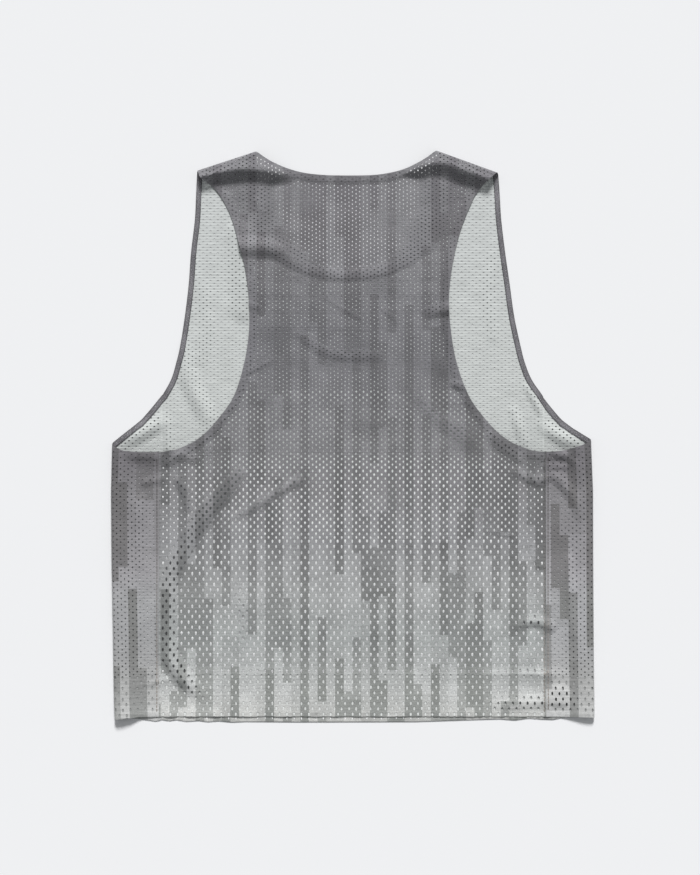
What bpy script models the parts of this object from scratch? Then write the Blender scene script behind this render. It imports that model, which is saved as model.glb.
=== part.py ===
"""A cropped mesh running singlet, laid flat on a table with its back up.

Every piece is drawn as it is cut, flat, and then laid: a lay function carries each point of
the flat cloth to its place, rolling it over the shoulders, round the sides and up inside the
hem. A piece is a closed wall round that laid surface, and the bindings are strips moved in
from the points of the pieces that they are sewn to.

X runs across the chest, Y from the hem to the neck, and Z up from the table. The tables and
the flat cloth are in millimetres, and the meshes are in metres.
"""

import bpy
import bmesh
import numpy as np
from mathutils import Vector
from mathutils.geometry import delaunay_2d_cdt

MM = 0.001

# ---------------------------------------------------------------- cloth and sewing sizes
CLOTH = 1.0             # thickness of one layer
GAP = 0.4               # air between two layers that lie on each other
LAYER = CLOTH + GAP
SEAM_GAP = 0.3          # between two pieces at a seam
HEM_DEPTH = 45.0
HEM_RADIUS = LAYER / 2
BINDING_WIDTH = 7.0
BACK_SEAM_X = 211.0     # seam between the back and a side panel
FRONT_SEAM_X = 208.0    # seam between the front and a side panel
BACK_HEM_Y = -305.5
BACK_SEAM_ROUND = 51.0      # round the cloth from the side fold to the back seam, at the underarm
FRONT_SEAM_ROUND = 54.4     # and to the front seam

# ---------------------------------------------------------------- how the layers lie
FRONT_Z = CLOTH / 2             # middle of the front's wall, flat on the table
BACK_Z = FRONT_Z + LAYER        # middle of the back's wall where it lies on the front
TIP_ROLL = 4.8                  # radius of the shoulder fold at the armhole
NECK_ROLL = 3.9                 # and at the neck
CREST_WIDTH = 2.0               # flat top of a rolled side, past its radius
CREASE_CLEAR = 12.0             # creases die out this far from a side fold's crest
# Where the top layer steps down off what lies under it: still high, and all the way down.
HEM_STEP = (HEM_DEPTH + 3, HEM_DEPTH + 16)
BINDING_STEP = (BINDING_WIDTH + 2, BINDING_WIDTH + 9)
OPENING_STEP = (4.0, 22.0)      # from the front's neck edge into the neck opening

LEFT_TIP, LEFT_NECK = (-168.4, 289.4), (-106.3, 309.9)
RIGHT_TIP, RIGHT_NECK = (157.8, 287.0), (92.3, 310.9)
# Below a shoulder fold: distance along it from its tip, how far in from it the cloth stays
# high, and how far in it has sunk to what lies below.
LEFT_POCKET = [
    (0.0, 5.3, 17.5),
    (14.0, 5.5, 19.0),
    (30.0, 6.5, 22.0),
    (46.0, 10.0, 28.0),
    (61.0, 17.0, 33.0),
    (83.0, 28.0, 42.0),
    (95.0, 36.0, 43.0),
]
RIGHT_POCKET = [
    (0.0, 6.5, 22.0),
    (14.0, 6.5, 28.0),
    (35.0, 5.5, 28.5),
    (56.0, 6.5, 29.5),
    (72.0, 18.0, 34.0),
    (88.0, 28.0, 38.0),
    (95.0, 33.0, 40.0),
]
POCKET_END = (72.0, 104.0)      # where the pockets fade out, past the neck points
# How far in from the side fold the cloth has sunk, by height.
SIDE_HOLLOW = [
    (-320.0, 40.0),
    (-200.0, 34.0),
    (-150.0, 28.0),
    (60.0, 28.0),
]

# Armhole edges below the shoulder tips: height, left edge, right edge.
BACK_ARMHOLE = [
    (281.5, -165.6, 150.8),
    (277.0, -159.0, 145.6),
    (270.5, -150.6, 139.6),
    (262.0, -144.0, 133.0),
    (251.0, -137.5, 128.1),
    (240.0, -132.6, 123.4),
    (218.5, -125.9, 116.0),
    (184.0, -117.2, 108.5),
    (149.0, -112.8, 105.2),
    (114.0, -112.9, 107.4),
    (79.0, -118.3, 113.9),
    (44.0, -129.4, 127.0),
    (18.0, -147.5, 145.6),
    (1.0, -163.8, 162.6),
    (-9.0, -179.5, 179.0),
    (-15.0, -195.5, 195.5),
]
FRONT_ARMHOLE = [
    (262.0, -170.6, 160.6),
    (236.0, -171.9, 162.2),
    (201.0, -176.0, 166.4),
    (166.0, -178.6, 171.4),
    (131.0, -182.8, 176.3),
    (96.5, -188.2, 183.7),
    (79.0, -192.4, 188.4),
    (61.6, -198.0, 195.6),
]
# The same edge round the underarm, on the side panels: distance round the cloth from the
# side fold (front negative), height on the left, height on the right.
UNDERARM = [
    (-60.0, 51.0, 51.0),
    (-54.2, 43.5, 43.5),
    (-48.0, 35.6, 35.4),
    (-40.9, 27.0, 26.6),
    (-33.2, 18.2, 17.9),
    (-22.2, 9.2, 9.6),
    (-11.0, 0.4, 2.6),
    (-4.7, -4.6, -1.2),
    (0.0, -8.0, -3.8),
    (4.7, -11.3, -6.2),
    (14.2, -15.4, -10.2),
    (27.2, -17.0, -14.2),
    (40.0, -17.0, -16.2),
    (51.0, -17.0, -17.0),
    (60.0, -17.0, -17.0),
]
# Neck edges between the two neck points: across, height.
BACK_NECK = [
    (-92.0, 301.2),
    (-79.0, 295.0),
    (-66.0, 290.6),
    (-50.0, 287.0),
    (-30.0, 285.0),
    (-5.0, 284.5),
    (22.0, 285.0),
    (40.0, 287.4),
    (54.0, 290.8),
    (66.0, 295.4),
    (80.0, 302.9),
]
FRONT_NECK = [
    (-106.6, 284.0),
    (-105.0, 255.0),
    (-97.0, 226.0),
    (-78.0, 198.5),
    (-46.0, 181.5),
    (-8.0, 176.0),
    (33.0, 180.5),
    (64.0, 198.0),
    (84.0, 226.0),
    (92.0, 255.0),
    (93.0, 284.0),
]
# The side folds: height, how far out the cloth reaches on the left and on the right, radius
# of the left and of the right fold.
SIDE_FOLD = [
    (60.0, 261.4, 259.6, 3.2, 3.2),
    (-8.0, 261.8, 259.9, 3.2, 3.2),
    (-60.0, 263.0, 262.0, 3.1, 3.1),
    (-135.0, 262.4, 262.2, 3.1, 3.1),
    (-222.0, 260.9, 262.7, 3.2, 2.9),
    (-287.0, 259.8, 263.5, 3.7, 2.9),
    (-320.0, 258.4, 263.8, 3.9, 2.9),
]
# How far the front's hem hangs below the back's: across, drop.
FRONT_HEM_DROP = [
    (-208.0, 3.2),
    (-190.0, 4.6),
    (-165.0, 5.0),
    (-60.0, 5.7),
    (70.0, 5.3),
    (120.0, 3.6),
    (160.0, 2.4),
    (177.0, 3.8),
    (192.0, 1.6),
    (208.0, 2.8),
]
# How far a side panel's hem hangs below the back's: distance round the cloth from the side
# fold (front negative), drop on the left, drop on the right.
SIDE_HEM_DROP = [
    (-54.0, 3.2, 2.8),
    (-47.0, 5.0, 3.2),
    (-36.0, 3.4, 1.0),
    (-20.0, 1.6, 0.4),
    (0.0, 3.0, 0.6),
    (14.0, 1.4, 0.2),
    (30.0, 0.0, 0.0),
]
# Raised creases in the top layer: half width, then points of the crest with their rise.
CREASES = [
    (15, [(-125, -41, 1.4), (-144, -65, 2.2), (-163, -87, 2.8), (-179, -115, 3.4),
          (-192, -137, 3.8), (-200, -159, 4.2), (-203, -191, 4.4), (-203, -222, 4.6),
          (-199, -240, 4.6), (-190, -256, 4.4), (-180, -269, 2.4)]),
    (9, [(-60, -49, 1.7), (-86, -64, 1.5), (-108, -78, 1.2), (-125, -87, 0.8)]),
    (13, [(-127, 209, 4.4), (-99, 208, 3.2), (-75, 202, 1.4)]),
    (9, [(-190, -47, 2.2), (-184, -60, 2.0), (-180, -78, 1.0)]),
    (9, [(-231, -69, 1.6), (-233, -100, 1.8), (-232, -140, 1.0)]),
    (13, [(-57, 110, 0.7), (-30, 92, 1.2), (-3, 88, 1.0), (27, 88, 0.8)]),
    (11, [(84, 136, 1.4), (98, 138, 2.8), (106, 140, 3.2)]),
    (9, [(176, -38, 1.0), (188, -44, 2.2), (202, -49, 2.4), (216, -42, 1.8)]),
    (10, [(225, -46, 3.2), (241, -66, 3.4), (251, -88, 2.2)]),
    (9, [(180, -206, 1.2), (199, -201, 3.2), (216, -207, 2.6)]),
    (9, [(237, -135, 1.2), (239, -178, 2.0), (241, -217, 1.6)]),
    (17, [(-250, -11, 2.2), (-236, -16, 2.6), (-216, -21, 1.8), (-196, -21, 0.6)]),
    (17, [(250, -11, 2.6), (236, -16, 2.8), (214, -21, 1.8), (196, -21, 0.6)]),
]

# ---------------------------------------------------------------- mesh spacing
EDGE_STEP = 10.0
BACK_STEP = 21.0
FRONT_STEP = 34.0
CREASE_STEP = 13.0
SEAM_STOPS = {BACK_STEP: 11, FRONT_STEP: 7}     # down a side seam, above the hem
SHOULDER_STOPS = 8                              # along a shoulder seam
SIDE_STOPS = 12                                 # down a side panel
SLOPE_STEP = 0.02       # used to measure the slope of a laid surface


# ---------------------------------------------------------------- curves and slopes
def smooth(points, step=2.0):
    """A Catmull-Rom curve through the points, sampled about every step."""
    points = np.array(points, float)
    knots = np.vstack([2 * points[0] - points[1], points, 2 * points[-1] - points[-2]])
    out = []
    for a, b, c, d in zip(knots, knots[1:], knots[2:], knots[3:]):
        count = max(1, round(np.hypot(*(c - b)[:2]) / step))
        t = np.linspace(0, 1, count, endpoint=False)[:, None]
        out.append(0.5 * (2 * b + (c - a) * t + (2 * a - 5 * b + 4 * c - d) * t**2
                          + (3 * b - a - 3 * c + d) * t**3))
    return np.vstack([*out, knots[-2:-1]])


def run_of(curve):
    """Distance along a curve to each of its points."""
    return np.concatenate([[0], np.cumsum(np.hypot(*np.diff(curve, axis=0).T))])


def evenly(curve, step):
    """The curve with its points spaced evenly, about a step apart."""
    run = run_of(curve)
    stops = np.linspace(0, run[-1], max(2, round(run[-1] / step) + 1))
    return np.column_stack([np.interp(stops, run, curve[:, k]) for k in (0, 1)])


def ramp(distance, full, gone):
    """1 up to full, then easing down to 0 at gone."""
    t = np.clip((distance - full) / (gone - full), 0, 1)
    return 0.5 + 0.5 * np.cos(np.pi * t)


def nearest(x, y, curve):
    """How far each point is from a curve, and where along it the nearest place is (0 to 1)."""
    run = run_of(curve)
    best = np.full(np.shape(x), np.inf)
    along = np.zeros(np.shape(x))
    for k, (a, b) in enumerate(zip(curve, curve[1:])):
        d = b - a
        t = np.clip(((x - a[0]) * d[0] + (y - a[1]) * d[1]) / (d @ d), 0, 1)
        away = np.hypot(x - a[0] - t * d[0], y - a[1] - t * d[1])
        along = np.where(away < best, (run[k] + t * (run[k + 1] - run[k])) / run[-1], along)
        best = np.minimum(away, best)
    return best, along


def inside(x, y, outline):
    """Which points lie inside a closed outline."""
    hit = np.zeros(np.shape(x), bool)
    for a, b in zip(outline, np.roll(outline, -1, axis=0)):
        if a[1] != b[1]:
            between = (a[1] > y) != (b[1] > y)
            hit ^= between & (x < (b[0] - a[0]) * (y - a[1]) / (b[1] - a[1]) + a[0])
    return hit


def side_fold(y, side):
    """Middle of the wall at a side fold, left (-1) or right (1): its reach, and its radius."""
    heights, *values = np.array(SIDE_FOLD[::-1]).T
    left_reach, right_reach, left_radius, right_radius = (np.interp(y, heights, v) for v in values)
    left = np.asarray(side) < 0
    reach = np.where(left, left_reach, right_reach) - CLOTH / 2
    return reach, np.where(left, left_radius, right_radius)


def underarm_height(s, side):
    places, left, right = np.array(UNDERARM).T
    return np.interp(s, places, left if side < 0 else right)


def shoulder(x, y):
    """Distances along and in from the nearer shoulder fold, the fold's radius, and the way in."""
    left = np.asarray(x) < (LEFT_NECK[0] + RIGHT_NECK[0]) / 2
    tip_x, tip_y = (np.where(left, a, b) for a, b in zip(LEFT_TIP, RIGHT_TIP))
    run_x = np.where(left, LEFT_NECK[0] - LEFT_TIP[0], RIGHT_NECK[0] - RIGHT_TIP[0])
    run_y = np.where(left, LEFT_NECK[1] - LEFT_TIP[1], RIGHT_NECK[1] - RIGHT_TIP[1])
    length = np.hypot(run_x, run_y)
    side = np.sign(run_x)
    in_x, in_y = side * run_y / length, -side * run_x / length
    along = ((x - tip_x) * run_x + (y - tip_y) * run_y) / length
    inward = (x - tip_x) * in_x + (y - tip_y) * in_y
    radius = TIP_ROLL + (NECK_ROLL - TIP_ROLL) * np.clip(along / length, 0, 1)
    return along, inward, radius, in_x, in_y


def spare_round_fold(radius):
    """The flat cloth runs this much further than the laid fold, because it goes round it."""
    return (np.pi / 2 - 1) * radius


def cut_at_fold(point):
    """Where the flat cloth is cut for the shoulder seam, straight out from a point on the fold."""
    along, inward, radius, in_x, in_y = shoulder(*np.array(point))
    spare = spare_round_fold(radius) - SEAM_GAP / 2
    return point[0] - in_x * spare, point[1] - in_y * spare


# ---------------------------------------------------------------- height of the top layer
def armhole_curve(table, column, tip, end):
    """An armhole edge as it is cut: from the shoulder fold, down to the side seam."""
    return smooth([cut_at_fold(tip), *((row[column], row[0]) for row in table), end])


def neck_curve(table):
    """A neck edge as it is cut, between the folds at the two neck points."""
    return smooth([cut_at_fold(LEFT_NECK), *table, cut_at_fold(RIGHT_NECK)])


SEAM_TOP = float(underarm_height(BACK_SEAM_ROUND, -1))
BACK_ARMHOLES = {
    -1: armhole_curve(BACK_ARMHOLE, 1, LEFT_TIP, (-BACK_SEAM_X + SEAM_GAP / 2, SEAM_TOP)),
    1: armhole_curve(BACK_ARMHOLE, 2, RIGHT_TIP, (BACK_SEAM_X - SEAM_GAP / 2, SEAM_TOP)),
}
FRONT_SEAM_TOP = float(underarm_height(-FRONT_SEAM_ROUND, -1))
FRONT_ARMHOLES = {
    -1: armhole_curve(FRONT_ARMHOLE, 1, LEFT_TIP, (-FRONT_SEAM_X + SEAM_GAP / 2, FRONT_SEAM_TOP)),
    1: armhole_curve(FRONT_ARMHOLE, 2, RIGHT_TIP, (FRONT_SEAM_X - SEAM_GAP / 2, FRONT_SEAM_TOP)),
}
BACK_NECK_CURVE = neck_curve(BACK_NECK)
FRONT_NECK_CURVE = neck_curve(FRONT_NECK)


def coarse(curve):
    return evenly(curve, 9.0)


def underarm_curve(side):
    """The back half of the underarm edge in plan, from the seam to the side fold."""
    s = np.array([BACK_SEAM_ROUND, 27.2, 14.2, 4.7])
    y = underarm_height(s, side)
    out_to, radius = side_fold(y, side)
    return np.column_stack([side * (out_to - radius - (s - np.pi / 2 * radius)), y])


EDGES_OF_BACK = [coarse(BACK_NECK_CURVE)]
EDGES_OF_BACK += [np.vstack([coarse(BACK_ARMHOLES[side]), underarm_curve(side)]) for side in (-1, 1)]
FRONT_NECK_OPENING = coarse(FRONT_NECK_CURVE)
CRESTS = [(width, smooth(points, 8.0)) for width, points in CREASES]


def crease_height(x, y):
    """How far the creases lift the cloth."""
    z = np.zeros(np.shape(x))
    for width, crest in CRESTS:
        away, along = nearest(x, y, crest[:, :2])
        run = run_of(crest[:, :2])
        z = z + np.interp(along, run / run[-1], crest[:, 2]) * ramp(away, 0, width)
    return z


def shoulder_rise(x, y):
    """How much of a shoulder fold's height the cloth keeps, 0 to 1."""
    along, inward, radius, in_x, in_y = shoulder(x, y)
    left, right = np.array(LEFT_POCKET).T, np.array(RIGHT_POCKET).T
    high, sunk = (np.where(np.asarray(x) < 0, np.interp(along, left[0], left[k]),
                           np.interp(along, right[0], right[k])) for k in (1, 2))
    return ramp(inward, high, sunk) * ramp(along, *POCKET_END)


def top_height(x, y):
    """Height of the middle of the top layer, over all that lies beneath it."""
    z = BACK_Z + 2 * LAYER * ramp(y - BACK_HEM_Y, *HEM_STEP)
    own_edge = np.min([nearest(x, y, curve)[0] for curve in EDGES_OF_BACK], axis=0)
    z = z + LAYER * ramp(own_edge, *BINDING_STEP)
    front_neck, along = nearest(x, y, FRONT_NECK_OPENING)
    opening = inside(x, y, FRONT_NECK_OPENING) * (1 - ramp(front_neck, *OPENING_STEP))
    z = z + LAYER * ramp(front_neck, *BINDING_STEP) - (BACK_Z - FRONT_Z) * opening

    out_to, side_radius = side_fold(y, np.sign(x))
    inside_fold = out_to - np.abs(x)
    clear_of_fold = 1 - ramp(inside_fold, side_radius + CREST_WIDTH, side_radius + CREASE_CLEAR)
    z = z + crease_height(x, y) * clear_of_fold

    along, inward, radius, in_x, in_y = shoulder(x, y)
    z = z + (FRONT_Z + 2 * radius - z) * shoulder_rise(x, y)
    hollow = np.interp(y, *np.array(SIDE_HOLLOW).T)
    top = FRONT_Z + 2 * side_radius
    return z + (top - z) * ramp(inside_fold, side_radius + CREST_WIDTH, hollow)


# ---------------------------------------------------------------- laying the flat cloth
def over_the_shoulder(x, y, layer):
    """A point of the back (layer 1) or the front (layer -1), rolled at the shoulder folds."""
    along, inward, radius, in_x, in_y = shoulder(x, y)
    angle = np.minimum((inward + spare_round_fold(radius)) / radius, np.pi / 2)
    rolled = angle < np.pi / 2
    shift = np.where(rolled, radius * (1 - np.cos(angle)) - inward, 0)
    lying = top_height(x, y) if layer > 0 else np.full(np.shape(x), FRONT_Z)
    z = np.where(rolled, FRONT_Z + radius * (1 + layer * np.sin(angle)), lying)
    return np.stack([x + in_x * shift, y + in_y * shift, z], axis=-1)


def round_the_side(s, y, side):
    """A point of a side panel, s round the cloth from the side fold, front negative."""
    out_to, radius = side_fold(y, side)
    quarter = np.pi / 2 * radius
    angle = np.clip(s / radius, -np.pi / 2, np.pi / 2)
    flat = np.maximum(np.abs(s) - quarter, 0)
    reach = out_to - radius + radius * np.cos(angle) - flat
    bent = FRONT_Z + radius * (1 + np.sin(angle))
    z = np.where(s > quarter, top_height(side * reach, y), bent)
    return np.stack([side * reach, y + 0 * s, z], axis=-1)


def laid(point_at, sign):
    """The laid surface with its outward direction, the way that the printed face looks."""
    def surface(a, b):
        across = point_at(a + SLOPE_STEP, b) - point_at(a - SLOPE_STEP, b)
        down = point_at(a, b + SLOPE_STEP) - point_at(a, b - SLOPE_STEP)
        out = sign * np.cross(across, down)
        return point_at(a, b), out / np.linalg.norm(out, axis=-1, keepdims=True)
    return surface


def hemmed(surface, hem_at):
    """Carries a surface round its hem fold, so that the cloth past it lies inside."""
    down = np.array([0.0, -1.0, 0.0])

    def lay(a, b):
        turn = hem_at(a) + HEM_RADIUS
        past = np.maximum(turn - b, 0)
        angle = np.minimum(past / HEM_RADIUS, np.pi)[:, None]
        inside = np.maximum(past - np.pi * HEM_RADIUS, 0)
        point, out = surface(a, np.where(past > 0, turn + inside, b))
        point = point - out * HEM_RADIUS * (1 - np.cos(angle)) + down * HEM_RADIUS * np.sin(angle)
        return point, out * np.cos(angle) + down * np.sin(angle)
    return lay


def back_hem(x):
    return np.full(np.shape(x), BACK_HEM_Y)


def front_hem(x):
    return BACK_HEM_Y - np.interp(x, *np.array(FRONT_HEM_DROP).T)


def side_hem_drop(s, side):
    places, left, right = np.array(SIDE_HEM_DROP).T
    return np.interp(s, places, left if side < 0 else right)


lay_back = hemmed(laid(lambda x, y: over_the_shoulder(x, y, 1), 1), back_hem)
lay_front = hemmed(laid(lambda x, y: over_the_shoulder(x, y, -1), -1), front_hem)
side_hem = {
    side: lambda s, side=side: BACK_HEM_Y - side_hem_drop(s, side)
    for side in (-1, 1)
}
lay_side = {
    side: hemmed(laid(lambda s, y, side=side: round_the_side(s, y, side), -side), side_hem[side])
    for side in (-1, 1)
}


# ---------------------------------------------------------------- closed walls
def wall(name, point, out, faces, colour):
    """A closed wall, CLOTH thick, round the laid points of a piece."""
    half = out * CLOTH / 2
    corners = np.vstack([point + half, point - half]) * MM
    count = len(point)
    sides = [(f[k], f[(k + 1) % len(f)]) for f in faces for k in range(len(f))]
    joined = set(sides)
    rims = [(b, a, a + count, b + count) for a, b in sides if (b, a) not in joined]
    inner = [tuple(k + count for k in reversed(f)) for f in faces]
    mesh = bpy.data.meshes.new(name)
    mesh.from_pydata(corners.tolist(), [], [*map(tuple, faces), *inner, *rims])
    bm = bmesh.new()
    bm.from_mesh(mesh)
    bmesh.ops.triangulate(bm, faces=bm.faces[:])
    bmesh.ops.recalc_face_normals(bm, faces=bm.faces[:])
    bm.to_mesh(mesh)
    bm.free()
    mesh.shade_smooth()
    mesh.set_sharp_from_angle(angle=np.radians(50))
    mesh.materials.append(cloth_material(name, colour))
    piece = bpy.data.objects.new(name, mesh)
    SINGLET.objects.link(piece)
    return piece


def net_faces(rows, columns, closed=False):
    """Four-sided faces over a net of rows and columns of points."""
    last = rows if closed else rows - 1
    corner = np.arange(rows * columns).reshape(rows, columns)
    return [(int(corner[i, j]), int(corner[(i + 1) % rows, j]),
             int(corner[(i + 1) % rows, j + 1]), int(corner[i, j + 1]))
            for i in range(last) for j in range(columns - 1)]


def clear_of(points, others, room):
    """Those of the points that keep their distance from all the others."""
    return [p for p in points if np.hypot(*(others - p).T).min() > room]


def cut_and_lay(name, outline, strips, inner, step, lay, colour):
    """A piece cut to its outline and laid, meshed through its strips, inner points and a net."""
    low, high = outline.min(axis=0), outline.max(axis=0)
    net = np.array([(x + (k % 2) * step / 2, y)
                    for k, y in enumerate(np.arange(low[1] + step / 2, high[1], step * 0.87))
                    for x in np.arange(low[0], high[0], step)])
    points = np.vstack([outline, *(s[1:-1, k] for s in strips for k in (1, 2))])
    for more, room in ((np.vstack(inner), 0.25), (net, step * 0.55)):
        bound = np.min([nearest(more[:, 0], more[:, 1], s[:, 0])[0] for s in strips], axis=0)
        loose = inside(more[:, 0], more[:, 1], outline) & (bound > BINDING_WIDTH + 1.5)
        points = np.vstack([points, *clear_of(more[loose], points, room)])
    lines = [(k, (k + 1) % len(outline)) for k in range(len(outline))]
    number = {tuple(p): k for k, p in enumerate(points.tolist())}
    for s in strips:
        mark = np.array([[number[tuple(p)] for p in row] for row in s[1:-1].tolist()])
        lines += [*zip(mark[:, 0], mark[:, 1]), *zip(mark[:, 1], mark[:, 2])]
        lines += [*zip(mark[:-1, 1], mark[1:, 1]), *zip(mark[:-1, 2], mark[1:, 2])]
    lines = [(int(a), int(b)) for a, b in lines]
    flat, _, faces, _, _, _ = delaunay_2d_cdt([Vector(p) for p in points], lines, [], 1, 1e-6)
    flat = np.array([tuple(p) for p in flat])
    return wall(name, *lay(flat[:, 0], flat[:, 1]), faces, colour)


# ---------------------------------------------------------------- edges and their strips
ACROSS_BINDING = np.array([0, 0.5, 1]) * BINDING_WIDTH
FOLD_STOPS = np.array([0, 1 / 3, 2 / 3, 1])


def strip(curve, turn, start_way, end_way=None):
    """Stops along an edge that starts at a shoulder fold, each with points across a binding.

    turn is 1 where the cloth lies to the left of the way that the edge runs, and -1 to the
    right. start_way and end_way run along the folds at its ends.
    """
    run = run_of(curve)
    near = FOLD_STOPS * np.pi / 2 * (TIP_ROLL if end_way is None else NECK_ROLL)
    tail = [run[-1]] if end_way is None else (run[-1] - near[::-1]).tolist()
    between = np.linspace(near[-1], tail[0], round((tail[0] - near[-1]) / EDGE_STEP) + 1)
    stops = np.concatenate([near[:-1], between, tail[1:]])

    def at(distance):
        return np.column_stack([np.interp(distance, run, curve[:, k]) for k in (0, 1)])

    heading = at(np.minimum(stops + 1, run[-1])) - at(np.maximum(stops - 1, 0))
    way = turn * np.column_stack([-heading[:, 1], heading[:, 0]])
    way = way / np.linalg.norm(way, axis=1, keepdims=True)
    for k, share in enumerate(FOLD_STOPS[:-1]):
        way[k] = (1 - share) * start_way + share * way[k]
        if end_way is not None:
            way[-1 - k] = (1 - share) * end_way + share * way[-1 - k]
    way = way / np.linalg.norm(way, axis=1, keepdims=True)
    return at(stops)[:, None, :] + way[:, None, :] * ACROSS_BINDING[None, :, None]


def fold_way(tip, neck):
    """The direction along a shoulder fold, from its tip to the neck."""
    run = np.subtract(neck, tip)
    return run / np.hypot(*run)


LEFT_WAY = fold_way(LEFT_TIP, LEFT_NECK)
RIGHT_WAY = fold_way(RIGHT_TIP, RIGHT_NECK)
BACK_STRIPS = {-1: strip(BACK_ARMHOLES[-1], 1, LEFT_WAY), 1: strip(BACK_ARMHOLES[1], -1, RIGHT_WAY)}
FRONT_STRIPS = {-1: strip(FRONT_ARMHOLES[-1], 1, LEFT_WAY),
                1: strip(FRONT_ARMHOLES[1], -1, RIGHT_WAY)}
BACK_NECK_STRIP = strip(BACK_NECK_CURVE, -1, -LEFT_WAY, -RIGHT_WAY)
FRONT_NECK_STRIP = strip(FRONT_NECK_CURVE, -1, -LEFT_WAY, -RIGHT_WAY)


# ---------------------------------------------------------------- front and back
HEM_TURN = [HEM_RADIUS - np.pi * HEM_RADIUS * k / 3 for k in range(4)]
HEM_INSIDE = [HEM_TURN[-1] - 20, HEM_TURN[-1] - HEM_DEPTH + HEM_RADIUS]
HEM_ROWS = [HEM_DEPTH + 16, HEM_DEPTH + 3, 22, *HEM_TURN, *HEM_INSIDE]


def shoulder_rows(depths):
    """Points in rows beside each shoulder fold, at these shares of a quarter turn or depths."""
    points = []
    for tip, neck in ((LEFT_TIP, LEFT_NECK), (RIGHT_TIP, RIGHT_NECK)):
        for share in np.linspace(0, 1, SHOULDER_STOPS):
            base = np.array(tip) + share * np.subtract(neck, tip)
            along, inward, radius, in_x, in_y = shoulder(*base)
            turns = [radius * np.pi / 2 * k for k in FOLD_STOPS[1:]]
            for depth in [t - (np.pi / 2 - 1) * radius for t in turns] + depths:
                points.append(base + np.array([in_x, in_y]) * depth)
    return np.array(points)


def crease_rows():
    """Points along each raised crease: on its top and on both its sides."""
    points = []
    for width, crest in CRESTS:
        line = evenly(crest[:, :2], CREASE_STEP)
        heading = np.gradient(line, axis=0)
        way = np.column_stack([-heading[:, 1], heading[:, 0]])
        way /= np.linalg.norm(way, axis=1, keepdims=True)
        points += [line + way * width * share for share in (-1, -0.5, 0, 0.5, 1)]
    return np.vstack(points)


def beside(curve, offsets):
    """Rows of points beside a curve, to the right of the way that it runs where positive."""
    line = evenly(curve, EDGE_STEP)
    heading = np.gradient(line, axis=0)
    way = np.column_stack([heading[:, 1], -heading[:, 0]])
    way /= np.linalg.norm(way, axis=1, keepdims=True)
    return np.vstack([line + way * offset for offset in offsets])


def panel(name, neck, armholes, seam_x, seam_top, hem_at, step, lay, extra, colour):
    """The front or the back: neck, shoulders, armholes, side seams and turned-up hem."""
    columns = np.linspace(-seam_x, seam_x, round(2 * seam_x / step) + 1)
    hem = hem_at(columns)
    below = seam_top - ACROSS_BINDING[-1] - EDGE_STEP
    seam_rows = [*(seam_top - ACROSS_BINDING[1:]),
                 *np.linspace(below, hem[0] + HEM_ROWS[0], SEAM_STOPS[step] + 1)[:-1]]
    left_seam = [(-seam_x, y) for y in [*seam_rows, *(hem[0] + row for row in HEM_ROWS[:-1])]]
    right_seam = [(seam_x, y) for y in [*seam_rows, *(hem[-1] + row for row in HEM_ROWS[:-1])]]
    bottom = np.column_stack([columns, hem + HEM_ROWS[-1]])
    left, right = armholes[-1][:, 0], armholes[1][:, 0]
    shoulders = [np.linspace(a, b, SHOULDER_STOPS)[1:-1]
                 for a, b in ((right[0], neck[-1, 0]), (neck[0, 0], left[0]))]
    outline = np.vstack([left, left_seam, bottom, right_seam[::-1], right[::-1],
                         shoulders[0], neck[::-1, 0], shoulders[1]])
    rows = [np.column_stack([columns, hem + row]) for row in HEM_ROWS]
    strips = [neck, *armholes.values()]
    return cut_and_lay(name, outline, strips, [*rows, *extra], step, lay, colour)


# ---------------------------------------------------------------- side panels
# Places round a side panel: -2 front seam, -1 to 1 round the fold, 2 back seam.
SIDE_PLACES = np.array([-2, -1.66, -1.33, -1, -0.67, -0.33, 0, 0.33, 0.67, 1,
                        1.1, 1.22, 1.4, 1.6, 1.8, 2])


def round_cloth(place, y, side):
    """How far round the cloth a place on a side panel is from the fold, at a height."""
    out_to, radius = side_fold(y, side)
    quarter = np.pi / 2 * radius
    front = out_to - radius - FRONT_SEAM_X - SEAM_GAP / 2
    back = out_to - radius - BACK_SEAM_X - SEAM_GAP / 2
    flat = np.where(place < 0, np.minimum(place + 1, 0) * front, np.maximum(place - 1, 0) * back)
    return np.clip(place, -1, 1) * quarter + flat


def side_net(side):
    """The flat points of a side panel, in rows from the underarm to the turned-up edge."""
    top_s = round_cloth(SIDE_PLACES, underarm_height(0, side), side)
    top = underarm_height(top_s, side)
    slope = np.gradient(top, top_s)
    rows = [top - across * np.hypot(1, slope) for across in ACROSS_BINDING]
    drop = side_hem_drop(round_cloth(SIDE_PLACES, BACK_HEM_Y, side), side)
    hem = BACK_HEM_Y + HEM_ROWS[0] - drop
    rows += [rows[2] + (hem - rows[2]) * share for share in np.linspace(0, 1, SIDE_STOPS + 1)[1:-1]]
    rows += [BACK_HEM_Y - drop + row for row in HEM_ROWS]
    net = []
    for y in rows:
        turn = BACK_HEM_Y - drop + HEM_RADIUS
        past = np.maximum(turn - y, 0)
        on_side = np.where(past > 0, turn + np.maximum(past - np.pi * HEM_RADIUS, 0), y)
        net.append(np.column_stack([round_cloth(SIDE_PLACES, on_side, side), y]))
    return np.array(net)


def side_panel(name, side, colour):
    net = side_net(side)
    rows, columns = net.shape[:2]
    point, out = lay_side[side](net[..., 0].ravel(), net[..., 1].ravel())
    return wall(name, point, out, net_faces(rows, columns), colour)


# ---------------------------------------------------------------- bindings
def moved_in(points, lay):
    """Strip points laid with their piece and moved one layer in, with their outward way."""
    flat = points.reshape(-1, 2)
    point, out = lay(flat[:, 0], flat[:, 1])
    return point - out * LAYER, out


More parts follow.
